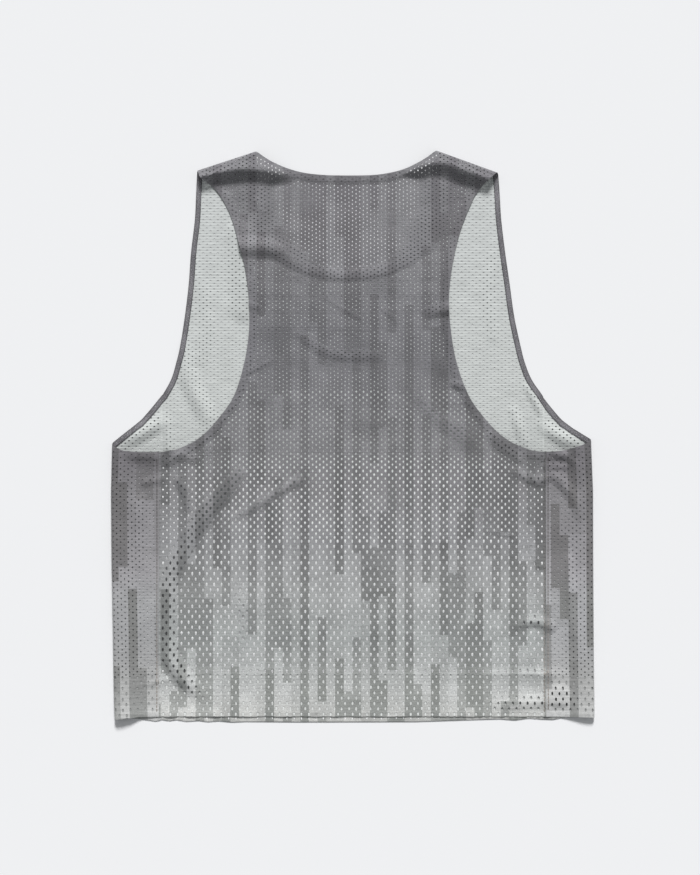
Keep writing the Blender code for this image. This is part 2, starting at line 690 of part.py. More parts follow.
def binding(name, stretches, colour):
    """A closed loop of strip, made of stretches that each lie inside one piece."""
    laid_stretches = [moved_in(points, lay) for points, lay in stretches]
    point = np.vstack([p for p, out in laid_stretches])
    out = np.vstack([out for p, out in laid_stretches])
    across = len(ACROSS_BINDING)
    return wall(name, point, out, net_faces(len(point) // across, across, closed=True), colour)


def armhole_binding(name, side, colour):
    front, back = FRONT_STRIPS[side], BACK_STRIPS[side]
    underarm = side_net(side)[:3].transpose(1, 0, 2)
    stretches = [(front[1:-1], lay_front), (underarm, lay_side[side]), (back[-2::-1], lay_back)]
    return binding(name, stretches, colour)


def neck_binding(name, colour):
    return binding(name, [(BACK_NECK_STRIP, lay_back), (FRONT_NECK_STRIP[-2:0:-1], lay_front)], colour)


# ---------------------------------------------------------------- materials and making
PRINTED_GREY = (0.215, 0.212, 0.218)
SIDE_GREY = (0.24, 0.235, 0.24)
PALE_INSIDE = (0.52, 0.56, 0.55)
BINDING_GREY = (0.15, 0.145, 0.15)


def cloth_material(name, colour):
    material = bpy.data.materials.new(name)
    material.use_nodes = True
    shader = material.node_tree.nodes["Principled BSDF"]
    shader.inputs["Base Color"].default_value = (*colour, 1)
    shader.inputs["Roughness"].default_value = 0.85
    shader.inputs["Metallic"].default_value = 0.0
    material.diffuse_color = (*colour, 1)
    return material


for old in list(bpy.data.objects):
    bpy.data.objects.remove(old, do_unlink=True)
SINGLET = bpy.data.collections.new("running_singlet")
bpy.context.scene.collection.children.link(SINGLET)

panel("front_panel", FRONT_NECK_STRIP, FRONT_STRIPS, FRONT_SEAM_X - SEAM_GAP / 2,
      FRONT_SEAM_TOP, front_hem, FRONT_STEP, lay_front, [shoulder_rows([])], PALE_INSIDE)
panel("back_panel", BACK_NECK_STRIP, BACK_STRIPS, BACK_SEAM_X - SEAM_GAP / 2,
      SEAM_TOP, back_hem, BACK_STEP, lay_back,
      [shoulder_rows([7.0, 10.0, 13.0, 17.0, 22.0, 28.0, 35.0]), crease_rows(),
       beside(FRONT_NECK_CURVE, [-12, -4, 4, 12, 19])], PRINTED_GREY)
for side, hand in ((-1, "left"), (1, "right")):
    side_panel(f"side_panel_{hand}", side, SIDE_GREY)
    armhole_binding(f"armhole_binding_{hand}", side, BINDING_GREY)
neck_binding("neck_binding", BINDING_GREY)
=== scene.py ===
# %% [markdown]
# # A mesh running singlet, laid flat
# A running singlet is a few flat pieces of open knit cloth: a front, a back, two narrow side
# panels that wrap round the wearer's sides, and strips that bind the neck and the armholes.
# It lies on a table with its back up. This lesson draws each piece flat, as it would be cut,
# punches the holes of the mesh through it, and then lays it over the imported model.

import bpy
import numpy as np
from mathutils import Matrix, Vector, kdtree
from mathutils.geometry import delaunay_2d_cdt


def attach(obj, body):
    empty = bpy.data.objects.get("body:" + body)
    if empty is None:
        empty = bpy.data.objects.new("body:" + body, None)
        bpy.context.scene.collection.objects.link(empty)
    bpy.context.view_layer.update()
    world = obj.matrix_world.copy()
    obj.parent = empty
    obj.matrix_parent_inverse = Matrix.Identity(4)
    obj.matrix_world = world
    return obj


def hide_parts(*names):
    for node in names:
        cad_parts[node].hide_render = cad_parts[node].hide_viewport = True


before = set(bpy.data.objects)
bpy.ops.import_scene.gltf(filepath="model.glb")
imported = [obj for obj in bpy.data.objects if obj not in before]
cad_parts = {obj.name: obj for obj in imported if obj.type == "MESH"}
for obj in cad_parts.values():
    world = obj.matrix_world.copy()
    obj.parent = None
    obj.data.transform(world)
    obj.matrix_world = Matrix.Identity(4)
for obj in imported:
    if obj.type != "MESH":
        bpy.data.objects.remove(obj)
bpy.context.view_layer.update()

# %% [markdown]
# ## Camera, light and table
# A flat garment is best seen from straight above through a long lens, so that its edges stay
# square. The light is a large soft one beyond the shoulders. An area lamp could be that softbox,
# but it would light the near end of the table more. One broad sun lamp lights all of it evenly,
# and the sky fills in the shade.

# %% Camera
MM = 0.001
PIXEL = 1.09                      # millimetres of table to a pixel of the render
RENDER = (700, 875)               # pixels across and down
MIDDLE = (352.5, 436.5)           # the pixel over the model's origin
LENS, SENSOR = 85.0, 36.0         # millimetres, the sensor along the render's long side
CLOTH_TOP = 1.5                   # the height at which a pixel is that wide


def add(name, data):
    """Puts new data into the scene as an object."""
    made = bpy.data.objects.new(name, data)
    bpy.context.scene.collection.objects.link(made)
    return made


camera = add("camera", bpy.data.cameras.new("camera"))
camera.data.lens, camera.data.sensor_width = LENS, SENSOR
height = CLOTH_TOP + RENDER[1] * PIXEL * LENS / SENSOR
aside = (RENDER[0] / 2 - MIDDLE[0]) * PIXEL
beyond = (MIDDLE[1] - RENDER[1] / 2) * PIXEL
camera.location = Vector((aside, beyond, height)) * MM
bpy.context.scene.camera = camera
print("camera", round(camera.location.z, 3), "m above the table")

# %% Light and table
KEY_HEIGHT = np.radians(35)       # of the lamp above the table
KEY_TURN = np.radians(-4)         # of the lamp, away from straight beyond the neck
KEY_WIDTH = np.radians(16)        # how wide the lamp looks
KEY_STRENGTH, SKY_STRENGTH = 3.88, 0.312
SKY_COLOUR = (0.95, 0.98, 1.0)
TABLE_COLOUR = (0.86, 0.86, 0.87)
TABLE_SIZE = 6.0                  # metres


def set_inputs(made, values):
    """Sets inputs of a node by their names."""
    for label, value in values.items():
        made.inputs[label].default_value = value


key = add("soft_key", bpy.data.lights.new("soft_key", "SUN"))
key.data.energy, key.data.angle = KEY_STRENGTH, KEY_WIDTH
key.rotation_euler = (KEY_HEIGHT - np.pi / 2, 0, KEY_TURN)

sky = bpy.data.worlds.new("studio_sky")
sky.use_nodes = True
set_inputs(sky.node_tree.nodes["Background"],
           {"Color": (*SKY_COLOUR, 1), "Strength": SKY_STRENGTH})
bpy.context.scene.world = sky
bpy.context.scene.view_settings.view_transform = "Standard"

half = TABLE_SIZE / 2
table_mesh = bpy.data.meshes.new("table")
table_mesh.from_pydata([(-half, -half, 0), (half, -half, 0), (half, half, 0), (-half, half, 0)],
                       [], [(0, 1, 2, 3)])
table = add("table", table_mesh)
paint = bpy.data.materials.new("table_paint")
paint.use_nodes = True
set_inputs(paint.node_tree.nodes["Principled BSDF"],
           {"Base Color": (*TABLE_COLOUR, 1), "Roughness": 0.9, "Specular IOR Level": 0.1})
table_mesh.materials.append(paint)
print("table", TABLE_SIZE, "m wide, lamp", round(float(np.degrees(KEY_HEIGHT))), "degrees up")

# %% [markdown]
# ## The cut
# A pattern maker draws edges as smooth curves through a few measured points. Bezier curves would
# do, but a Catmull-Rom curve goes through each of its points, so a short table of measurements
# gives the edge. All lengths in these cells are millimetres: X across the chest, Y from the hem
# to the neck, Z up from the table.

# %% Cloth and sewing sizes
CLOTH = 0.2                 # thickness of the knit
LAYER = 0.28                # from one layer's middle to the next one's
BINDING_DROP = 0.42         # from a panel's middle to that of the binding inside it
BINDING_RISE = 1.1          # how far a binding lifts the cloth that lies over it
SEAM_GAP = 0.14
HEM_DEPTH, HEM_RADIUS = 45.0, 0.21
BINDING_WIDTH = 7.0
BACK_SEAM_X, FRONT_SEAM_X = 211.0, 208.0
BACK_SEAM_ROUND, FRONT_SEAM_ROUND = 51.0, 54.4      # from the side fold to a seam, at the top
BACK_HEM_Y = -305.5
FRONT_Z = 0.42
BACK_Z = FRONT_Z + LAYER
OPEN_Z = 0.22               # of the back where no front lies under it, inside the neck
SIDES = ((-1, "left"), (1, "right"))
print("the back lies", round(BACK_Z, 2), "mm up, and its hem is", HEM_DEPTH, "mm deep")

# %% Measured edges
LEFT_TIP, LEFT_NECK = (-168.4, 289.4), (-106.3, 309.9)
RIGHT_TIP, RIGHT_NECK = (157.8, 287.0), (92.3, 310.9)

# Armhole edges below the shoulder tips: height, left edge, right edge.
BACK_ARMHOLE = [
    (281.5, -165.6, 150.8), (277, -159, 145.6), (270.5, -150.6, 139.6), (262, -144, 133),
    (251, -137.5, 128.1), (240, -132.6, 123.4), (218.5, -125.9, 116), (184, -117.2, 108.5),
    (149, -112.8, 105.2), (114, -112.9, 107.4), (79, -118.3, 113.9), (44, -129.4, 127),
    (18, -147.5, 145.6), (1, -163.8, 162.6), (-9, -179.5, 179), (-15, -195.5, 195.5),
]
FRONT_ARMHOLE = [
    (262, -170.6, 160.6), (236, -171.9, 162.2), (201, -176, 166.4), (166, -178.6, 171.4),
    (131, -182.8, 176.3), (96.5, -188.2, 183.7), (79, -192.4, 188.4), (61.6, -198, 195.6),
]
# The same edge round the underarm: distance round the cloth from the side fold, height on the
# left, height on the right.
UNDERARM = [
    (-60, 51, 51), (-54.2, 43.5, 43.5), (-48, 35.6, 35.4), (-40.9, 27, 26.6), (-33.2, 18.2, 17.9),
    (-22.2, 9.2, 9.6), (-11, 0.4, 2.6), (-4.7, -4.6, -1.2), (0, -8, -3.8), (4.7, -11.3, -6.2),
    (14.2, -15.4, -10.2), (27.2, -17, -14.2), (40, -17, -16.2), (51, -17, -17), (60, -17, -17),
]
# Neck edges between the neck points: across, height.
BACK_NECK = [
    (-92, 301.2), (-79, 295), (-66, 290.6), (-50, 287), (-30, 285), (-5, 284.5), (22, 285),
    (40, 287.4), (54, 290.8), (66, 295.4), (80, 302.9),
]
FRONT_NECK = [
    (-106.6, 284), (-105, 255), (-97, 226), (-78, 198.5), (-46, 181.5), (-8, 176), (33, 180.5),
    (64, 198), (84, 226), (92, 255), (93, 284),
]
# How far the front's hem hangs below the back's: across, drop.
FRONT_HEM_DROP = [
    (-208, 3.2), (-200, 4.6), (-192, 3.4), (-181, 5.2), (-168, 4.2), (-158, 5.6), (-146, 4.6),
    (-131, 6), (-116, 5.2), (-60, 5.7), (70, 5.3), (120, 3.6), (160, 2.4), (177, 3.8), (192, 1.6),
    (208, 2.8),
]
# How far a side panel's hem hangs below the back's: distance round the cloth from the side
# fold, drop on the left, drop on the right.
SIDE_HEM_DROP = [
    (-54, 3.2, 2.8), (-47, 5, 3.2), (-36, 3.4, 1), (-20, 1.6, 0.4), (0, 3, 0.6), (14, 1.4, 0.2),
    (30, 0, 0),
]
print("between the shoulder tips", round(RIGHT_TIP[0] - LEFT_TIP[0], 1), "mm")


# %% Curves
def look_up(table, value, column=1):
    """A column of a table, read between its rows at a value of its first column."""
    rows = np.array(sorted(table)).T
    return np.interp(value, rows[0], rows[column])


def smooth(points, step=2.0):
    """A Catmull-Rom curve through the points, sampled about every step."""
    points = np.array(points, float)
    knots = np.vstack([2 * points[0] - points[1], points, 2 * points[-1] - points[-2]])
    out = []
    for a, b, c, d in zip(knots, knots[1:], knots[2:], knots[3:]):
        count = max(1, round(np.hypot(*(c - b)[:2]) / step))
        t = np.linspace(0, 1, count, endpoint=False)[:, None]
        out.append(0.5 * (2 * b + (c - a) * t + (2 * a - 5 * b + 4 * c - d) * t**2
                          + (3 * b - a - 3 * c + d) * t**3))
    return np.vstack([*out, knots[-2:-1]])


def run_of(curve):
    """How far along a curve each of its points is."""
    return np.concatenate([[0], np.cumsum(np.hypot(*np.diff(curve, axis=0).T))])


def points_at(curve, stops):
    """The points of a curve at distances along it."""
    run = run_of(curve)
    return np.column_stack([np.interp(stops, run, curve[:, k]) for k in (0, 1)])


def evenly(curve, step):
    """The curve with its points spaced evenly, about a step apart."""
    length = run_of(curve)[-1]
    return points_at(curve, np.linspace(0, length, max(2, round(length / step) + 1)))


def closed(outline):
    return np.vstack([outline, outline[:1]])


def unit(vectors):
    return vectors / np.linalg.norm(vectors, axis=-1, keepdims=True)


def ramp(distance, full, gone):
    """1 up to full, then easing down to 0 at gone."""
    t = np.clip((distance - full) / (gone - full), 0, 1)
    return 0.5 + 0.5 * np.cos(np.pi * t)


def inside(x, y, outline):
    """Which points lie inside a closed outline."""
    hit = np.zeros(np.shape(x), bool)
    for a, b in zip(outline, np.roll(outline, -1, axis=0)):
        if a[1] != b[1]:
            between = (a[1] > y) != (b[1] > y)
            hit ^= between & (x < (b[0] - a[0]) * (y - a[1]) / (b[1] - a[1]) + a[0])
    return hit


def nearest(x, y, curve):
    """How far points are from a curve, and where along it the nearest place is (0 to 1)."""
    run = run_of(curve)
    best = np.full(np.shape(x), np.inf)
    along = np.zeros(np.shape(x))
    for k, (a, b) in enumerate(zip(curve, curve[1:])):
        d = b - a
        t = np.clip(((x - a[0]) * d[0] + (y - a[1]) * d[1]) / (d @ d), 0, 1)
        away = np.hypot(x - a[0] - t * d[0], y - a[1] - t * d[1])
        along = np.where(away < best, (run[k] + t * (run[k + 1] - run[k])) / run[-1], along)
        best = np.minimum(away, best)
    return best, along


# %% [markdown]
# ## How the cloth lies
# Laid flat, the cloth rolls over at the shoulders and at the sides. There it stands proud of the
# table as an open tube, and a little way in it sinks onto the layer below. Cloth simulation could
# find this, but it would forget where each crease of this garment lies. A height for the
# top layer, made of ramps down from the rolled edges and of soft ridges along listed paths,
# keeps them in place.

# %% Rolled edges
TIP_ROLL, NECK_ROLL = 4.8, 3.9    # radius of the shoulder fold at the armhole and at the neck
CREST_WIDTH = 2.0                 # flat top of a rolled side, past its radius
CREASE_CLEAR = 12.0               # creases die out this far from a side fold's crest
# Below a shoulder fold: distance along it from its tip, how far in from it the cloth stays high,
# and how far in it has sunk onto the layer below.
LEFT_POCKET = [
    (0, 6, 19), (14, 7, 20.5), (30, 9, 23), (46, 12, 28), (61, 18, 34.5), (83, 28, 45),
    (95, 36, 46),
]
RIGHT_POCKET = [
    (0, 7, 22), (14, 7.5, 26.5), (35, 7, 27.5), (56, 7, 27.5), (72, 14, 31), (88, 28, 38),
    (95, 33, 40),
]
SHOULDER_SWELL = 3.2              # how much higher than the fold the cloth bulges inside it
SWELL_EASE = 3.0                  # how far past the high part the bulge has its full height
POCKET_END = (72, 104)            # where the pockets fade out along the fold, past its neck end
# How far in from the side fold the cloth has sunk, by height.
SIDE_HOLLOW = [(-320, 40), (-200, 34), (-150, 28), (60, 28)]
# The side folds: height, how far out the cloth reaches on the left and on the right, radius of
# the left and of the right fold.
SIDE_FOLD = [
    (60, 261.4, 259.6, 3.2, 3.2), (-8, 261.8, 259.9, 3.2, 3.2), (-60, 263, 262, 3.1, 3.1),
    (-135, 262.4, 262.2, 3.1, 3.1), (-222, 260.9, 262.7, 3.2, 2.9), (-287, 259.8, 263.5, 3.7, 2.9),
    (-320, 258.4, 263.8, 3.9, 2.9),
]


def side_fold(y, side):
    """Middle of the cloth at a side fold, left (-1) or right (1): its reach, and its radius."""
    left = np.asarray(side) < 0
    reach, radius = (np.where(left, look_up(SIDE_FOLD, y, k), look_up(SIDE_FOLD, y, k + 1))
                     for k in (1, 3))
    return reach - CLOTH / 2, radius


def at_side(table, s, side):
    """A value round a side panel, from a table with a column for the left and for the right."""
    return look_up(table, s, 1 if side < 0 else 2)


def shoulder(x, y):
    """Distances along and in from the nearer shoulder fold, the fold's radius, and the way in."""
    left = np.asarray(x) < (LEFT_NECK[0] + RIGHT_NECK[0]) / 2
    tip_x, tip_y, neck_x, neck_y = (
        np.where(left, a, b) for a, b in zip(LEFT_TIP + LEFT_NECK, RIGHT_TIP + RIGHT_NECK))
    run_x, run_y = neck_x - tip_x, neck_y - tip_y
    length = np.hypot(run_x, run_y)
    side = np.sign(run_x)
    in_x, in_y = side * run_y / length, -side * run_x / length
    along = ((x - tip_x) * run_x + (y - tip_y) * run_y) / length
    inward = (x - tip_x) * in_x + (y - tip_y) * in_y
    radius = TIP_ROLL + (NECK_ROLL - TIP_ROLL) * np.clip(along / length, 0, 1)
    return along, inward, radius, in_x, in_y


def spare_round_fold(radius):
    """The flat cloth runs this much further than the laid fold, because it goes round it."""
    return (np.pi / 2 - 1) * radius


def cut_at_fold(point):
    """Where the flat cloth is cut for the shoulder seam, straight out from a point on the fold."""
    along, inward, radius, in_x, in_y = shoulder(*np.array(point))
    spare = spare_round_fold(radius) - SEAM_GAP / 2
    return point[0] - in_x * spare, point[1] - in_y * spare


print("the left side fold reaches", round(float(side_fold(0, -1)[0]), 1), "mm out")

# %% Edges as they are cut
def armhole_curves(table, edge_x, top):
    """The armhole edges by side, from the shoulder fold down to the side seam."""
    return {side: smooth([cut_at_fold(tip), *((row[column], row[0]) for row in table),
                          (side * edge_x, top)])
            for side, column, tip in ((-1, 1, LEFT_TIP), (1, 2, RIGHT_TIP))}


def neck_curve(table):
    return smooth([cut_at_fold(LEFT_NECK), *table, cut_at_fold(RIGHT_NECK)])


BACK_TOP = float(at_side(UNDERARM, BACK_SEAM_ROUND, -1))
FRONT_TOP = float(at_side(UNDERARM, -FRONT_SEAM_ROUND, -1))
BACK_EDGE_X, FRONT_EDGE_X = BACK_SEAM_X - SEAM_GAP / 2, FRONT_SEAM_X - SEAM_GAP / 2
BACK_ARMHOLES = armhole_curves(BACK_ARMHOLE, BACK_EDGE_X, BACK_TOP)
FRONT_ARMHOLES = armhole_curves(FRONT_ARMHOLE, FRONT_EDGE_X, FRONT_TOP)
BACK_NECK_CURVE, FRONT_NECK_CURVE = neck_curve(BACK_NECK), neck_curve(FRONT_NECK)
print("back armhole edge", round(float(run_of(BACK_ARMHOLES[-1])[-1])), "mm, neck edge",
      round(float(run_of(BACK_NECK_CURVE)[-1])), "mm")

# %% [markdown]
# ## Creases
# Thin cloth that is smoothed out by hand keeps soft creases where it was pulled or folded. They
# could be sculpted, but then nobody could move one later. Here they are short tables: a path,
# half of the crease's width, and its height at each point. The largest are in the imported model
# too, and the others are small ripples that only a close look shows.

# %% Creases
# Of the top layer: half width, then the crest's points as across, height on the cloth, rise.
CREASES = [
    (15, [(-125, -41, 1.4), (-144, -65, 2.2), (-163, -87, 2.8), (-179, -115, 3.4),
          (-192, -137, 3.8), (-200, -159, 4.2), (-203, -191, 4.4), (-203, -222, 5.4),
          (-199, -240, 5.9), (-192, -253, 5.6), (-187, -262, 2.4)]),
    (8, [(-60, -49, 1.7), (-86, -64, 1.5), (-108, -78, 1.2), (-125, -87, 0.8)]),
    (15, [(-127, 207, 4.8), (-100, 206, 4.6), (-76, 203, 2.8), (-60, 196, 1)]),
    (8, [(-190, -47, 2.2), (-184, -60, 2), (-180, -78, 1)]),
    (7, [(-226, -50, 1.8), (-208, -46, 1.4)]),
    (8, [(-201, -28, 1.6), (-188, -21, 1.6), (-171, -25, 1)]),
    (9, [(-231, -69, 1.6), (-233, -100, 1.8), (-232, -140, 1)]),
    (3.2, [(-240, -273, 0.5), (-228, -271, 1.2), (-213, -268, 1.3), (-199, -265, 0.9)]),
    (6, [(-114, 144, 2.4), (-102, 140, 1)]),
    (4.5, [(-112, 71, 0.9), (-90, 82, 0.5)]),
    (9, [(-57, 110, 0.7), (-30, 92, 1.2), (-3, 88, 1), (27, 88, 0.8)]),
    (4, [(-30, 151, 0.5), (8, 129, 0.6)]),
    (4, [(35, 138, 0.5), (49, 124, 0.6)]),
    (4.5, [(-105, 258, 1), (-98, 244, 0.7)]),
    (10, [(84, 136, 1.4), (98, 138, 2.8), (108, 140, 3.6)]),
    (7, [(112, 57, 2.2), (124, 53, 1.6)]),
    (8, [(176, -38, 1), (188, -44, 2.2), (202, -49, 2.4), (216, -42, 1.8)]),
    (10, [(225, -46, 3.2), (241, -66, 3.4), (251, -88, 2.2)]),
    (6, [(211, -33, 1.2), (233, -33, 1.4)]),
    (5, [(148, -103, 0.6), (174, -108, 1.1)]),
    (6, [(192, -117, 0.8), (205, -143, 1.2)]),
    (9, [(180, -206, 1.2), (199, -201, 3.2), (216, -207, 2.6)]),
    (7, [(237, -135, 1.2), (239, -178, 2), (241, -217, 1.6)]),
    (5, [(148, -259, 0.6), (183, -258, 1.4), (215, -259, 1.6)]),
    (6, [(248, -252, 1.2), (256, -276, 0.8)]),
    (11, [(150, -263, 0.5), (190, -262, 1.2), (222, -262, 0.8)]),
    (10, [(60, -262, 0.2), (105, -261, 0.5), (148, -260, 0.4)]),
    (12, [(-128, -160, 0.6), (-118, -196, 1), (-124, -232, 0.5)]),
    (14, [(60, 52, 0.4), (92, 20, 0.9), (128, -2, 0.6)]),
    (9, [(150, 0, 1.2), (166, -14, 1.8), (182, -24, 1.2)]),
    (17, [(-250, -11, 2.2), (-236, -16, 2.6), (-216, -21, 1.8), (-196, -21, 0.6)]),
    (17, [(250, -11, 1.7), (236, -16, 1.7), (214, -21, 1.4), (196, -21, 0.6)]),
    (8, [(208, -12, 1.2), (226, -19, 2.4), (237, -25, 2.4), (247, -34, 1)]),
]
# Of the outside of the hem, which lifts off the turned-up cloth inside it.
HEM_CREASES = [
    (12, [(-193, -254, 0.8), (-185, -264, 3.4), (-177, -272, 3), (-167, -280, 0.8)]),
    (11, [(152, -292, 0.6), (166, -292, 1.9), (190, -290, 2.4), (208, -289, 2.6), (226, -288, 3.6),
          (240, -291, 1.8)]),
    (9, [(214, -279, 1.6), (226, -277, 3.2), (238, -281, 1.6)]),
]
# Of the front, where it shows in the armholes.
FRONT_CREASES = [
    (15, [(-186, 96, 1.2), (-181, 72, 2.6), (-173, 50, 3), (-162, 30, 2.8), (-154, 12, 1.4)]),
    (20, [(-122, 222, 3), (-118, 184, 4.4), (-120, 140, 2.4)]),
    (12, [(-248, -6, 1.4), (-234, 1, 3.2), (-217, 11, 3.2), (-206, 20, 1.2)]),
    (7, [(-202, 14, 1.8), (-200, -14, 2.6)]),
    (12, [(-163, 160, 0.5), (-160, 120, 0.9), (-164, 84, 0.6)]),
    (10, [(152, 196, 0.5), (148, 150, 0.9), (152, 112, 0.5)]),
    (12, [(248, -8, 1.2), (233, -4, 3.2), (217, 5, 3.2), (208, 14, 1.2)]),
    (9, [(176, 28, 1.2), (182, 10, 2.6), (186, -8, 1.6)]),
    (6, [(190, 54, 1.2), (199, 38, 2.2), (206, 24, 1.2)]),
]
CREST_STEP = 8.0            # between the points of a crest


def crease_height(x, y, creases):
    """How far a set of creases lifts the cloth."""
    z = np.zeros(np.shape(x))
    for width, path in creases:
        low, high = path[:, :2].min(axis=0) - width, path[:, :2].max(axis=0) + width
        near = (x > low[0]) & (x < high[0]) & (y > low[1]) & (y < high[1])
        away, along = nearest(x[near], y[near], path[:, :2])
        run = run_of(path[:, :2])
        z[near] += np.interp(along, run / run[-1], path[:, 2]) * ramp(away, 0, width)
    return z


TOP_CRESTS, FRONT_CRESTS, HEM_CRESTS = (
    [(width, smooth(points, CREST_STEP)) for width, points in table]
    for table in (CREASES, FRONT_CREASES, HEM_CREASES))
print(len(CREASES), "creases on top,", len(FRONT_CREASES), "inside the armholes")

# %% Height of each layer
COARSE = 9.0                # between the points of an edge that only heights are measured from
HEM_STEP = (HEM_DEPTH + 2, HEM_DEPTH + 9)
BINDING_STEP = (BINDING_WIDTH - 2, BINDING_WIDTH + 3.5)
# How far the back slopes on either side of the front's neck edge, by height.
NECK_SLOPE = [(176, 6.5), (190, 9), (225, 26)]
SEAM_STEP_UP, SEAM_STEP = 0.5, (1.5, 4.5)
WAVE_HEIGHT = 0.16
# Of the waves: the way along for one radian, and how far a wave strays, in radians.
ACROSS_WAVE, ACROSS_STRAY, ACROSS_STRAY_WAVE = 15, 1.4, 47
UP_WAVE, SLANT_WAVE = 12, 55
HEM_WAVE, HEM_STRAY, HEM_STRAY_WAVE = 4.7, 2.2, 31
WAVES_SUNK = 0.3            # how much of the long waves is lost under the flat cloth
HEM_WAVES_END = (2, 13)     # where the short ones fade out, above the hem
NECK_EDGE = 2               # how far over its binding the cloth keeps its height
HEM_LIFT = [(-200, 0.65), (-60, 0.3), (60, 0.15)]       # of its short waves: across, height
UNDERARM_STOPS = np.array([BACK_SEAM_ROUND, 27.2, 14.2, 4.7])


def underarm_curve(side):
    """The back half of the underarm edge in plan, from the seam to the side fold."""
    y = at_side(UNDERARM, UNDERARM_STOPS, side)
    out_to, radius = side_fold(y, side)
    return np.column_stack([side * (out_to - radius - (UNDERARM_STOPS - np.pi / 2 * radius)), y])


FRONT_NECK_OPENING = evenly(FRONT_NECK_CURVE, COARSE)
EDGES_OF_BACK = [evenly(BACK_NECK_CURVE, COARSE)]
EDGES_OF_BACK += [np.vstack([evenly(BACK_ARMHOLES[side], COARSE), underarm_curve(side)])
                  for side in (-1, 1)]


def clear_of_side(x, y):
    """0 on the rolled side, where the cloth is round and has no creases, and 1 inside it."""
    out_to, radius = side_fold(y, np.sign(x))
    return 1 - ramp(out_to - np.abs(x), radius + CREST_WIDTH, radius + CREASE_CLEAR)


def front_rise(x, y):
    return crease_height(x, y, FRONT_CRESTS) * clear_of_side(x, y)


def waves(x, y):
    """Long low waves all over, and short ones that lift the hem, mostly to the left."""
    long = (np.sin(x / ACROSS_WAVE + ACROSS_STRAY * np.sin(y / ACROSS_STRAY_WAVE))
            + np.sin(y / UP_WAVE + x / SLANT_WAVE) - WAVES_SUNK)
    short = 1 + np.sin(x / HEM_WAVE + HEM_STRAY * np.sin(x / HEM_STRAY_WAVE))
    return (WAVE_HEIGHT * np.maximum(long, 0)**2
            + look_up(HEM_LIFT, x) * short * ramp(y - BACK_HEM_Y, *HEM_WAVES_END))


def shoulder_rise(x, y):
    """How much of a shoulder fold's height the cloth keeps, 0 to 1, and how far it bulges."""
    along, inward, radius, in_x, in_y = shoulder(x, y)
    high, sunk = (np.where(np.asarray(x) < 0, look_up(LEFT_POCKET, along, k),
                           look_up(RIGHT_POCKET, along, k)) for k in (1, 2))
    swell = SHOULDER_SWELL * (1 - ramp(inward, radius, high + SWELL_EASE))
    return ramp(inward, high, sunk) * ramp(along, *POCKET_END), swell


def top_height(x, y):
    """Height of the middle of the top layer, over all that lies beneath it."""
    z = BACK_Z + 4 * HEM_RADIUS * ramp(y - BACK_HEM_Y, *HEM_STEP)
    own_edge = np.min([nearest(x, y, curve)[0] for curve in EDGES_OF_BACK], axis=0)
    z = z + BINDING_RISE * ramp(own_edge, *BINDING_STEP)
    front_neck, along = nearest(x, y, FRONT_NECK_OPENING)
    slope = look_up(NECK_SLOPE, y)
    opening = inside(x, y, FRONT_NECK_OPENING) * (1 - ramp(front_neck, 0, slope))
    over_neck = ramp(front_neck, NECK_EDGE, slope + NECK_EDGE)
    z = z + BINDING_RISE * over_neck - (BACK_Z - OPEN_Z) * opening
    z = z + SEAM_STEP_UP * ramp(np.abs(np.abs(x) - BACK_SEAM_X), *SEAM_STEP)
    z = z + crease_height(x, y, TOP_CRESTS) * clear_of_side(x, y)
    z = z + (front_rise(x, y) + waves(x, y) + crease_height(x, y, HEM_CRESTS)) * clear_of_side(x, y)

    along, inward, radius, in_x, in_y = shoulder(x, y)
    rise, swell = shoulder_rise(x, y)
    z = z + (FRONT_Z + 2 * radius + swell - z) * rise
    out_to, radius = side_fold(y, np.sign(x))
    top = FRONT_Z + 2 * radius
    return z + (top - z) * ramp(out_to - np.abs(x), radius + CREST_WIDTH, look_up(SIDE_HOLLOW, y))


print("lower middle of the back lies", round(float(top_height(np.zeros(1), np.zeros(1))[0]), 2),
      "mm up")

# %% [markdown]
# ## Laying the flat cloth
# A lay function takes points of the flat cut and gives their place on the table with the way
# that the printed face looks. The hem is the same cloth carried on round a tight fold. Bending
# a finished mesh would do for one fold, but the net would tear where two folds meet, so a
# wrapper turns the hem for all the pieces.

# %% Lay functions
SLOPE_STEP = 0.02           # between the places that a surface's slope is measured at
HEM_OPENS = 6.0             # how far up from its fold a lifted hem has opened


def over_the_shoulder(x, y, layer):
    """A point of the back (layer 1) or the front (layer -1), rolled at the shoulder folds."""
    along, inward, radius, in_x, in_y = shoulder(x, y)
    angle = np.minimum((inward + spare_round_fold(radius)) / radius, np.pi / 2)
    rolled = angle < np.pi / 2
    shift = np.where(rolled, radius * (1 - np.cos(angle)) - inward, 0)
    lying = top_height(x, y) if layer > 0 else FRONT_Z + front_rise(x, y)
    z = np.where(rolled, FRONT_Z + radius * (1 + layer * np.sin(angle)), lying)
    return np.stack([x + in_x * shift, y + in_y * shift, z], axis=-1)


def round_the_side(s, y, side):
    """A point of a side panel, s round the cloth from the side fold, front negative."""
    out_to, radius = side_fold(y, side)
    quarter = np.pi / 2 * radius
    angle = np.clip(s / radius, -np.pi / 2, np.pi / 2)
    flat = np.maximum(np.abs(s) - quarter, 0)
    reach = out_to - radius + radius * np.cos(angle) - flat
    bent = FRONT_Z + radius * (1 + np.sin(angle)) + front_rise(side * reach, y)
    z = np.where(s > quarter, top_height(side * reach, y), bent)
    return np.stack([side * reach, y + 0 * s, z], axis=-1)


def laid(point_at, sign, *where):
    """The laid surface with its outward direction, the way that the printed face looks."""
    def surface(a, b):
        across = point_at(a + SLOPE_STEP, b, *where) - point_at(a - SLOPE_STEP, b, *where)
        down = point_at(a, b + SLOPE_STEP, *where) - point_at(a, b - SLOPE_STEP, *where)
        return point_at(a, b, *where), unit(sign * np.cross(across, down))
    return surface


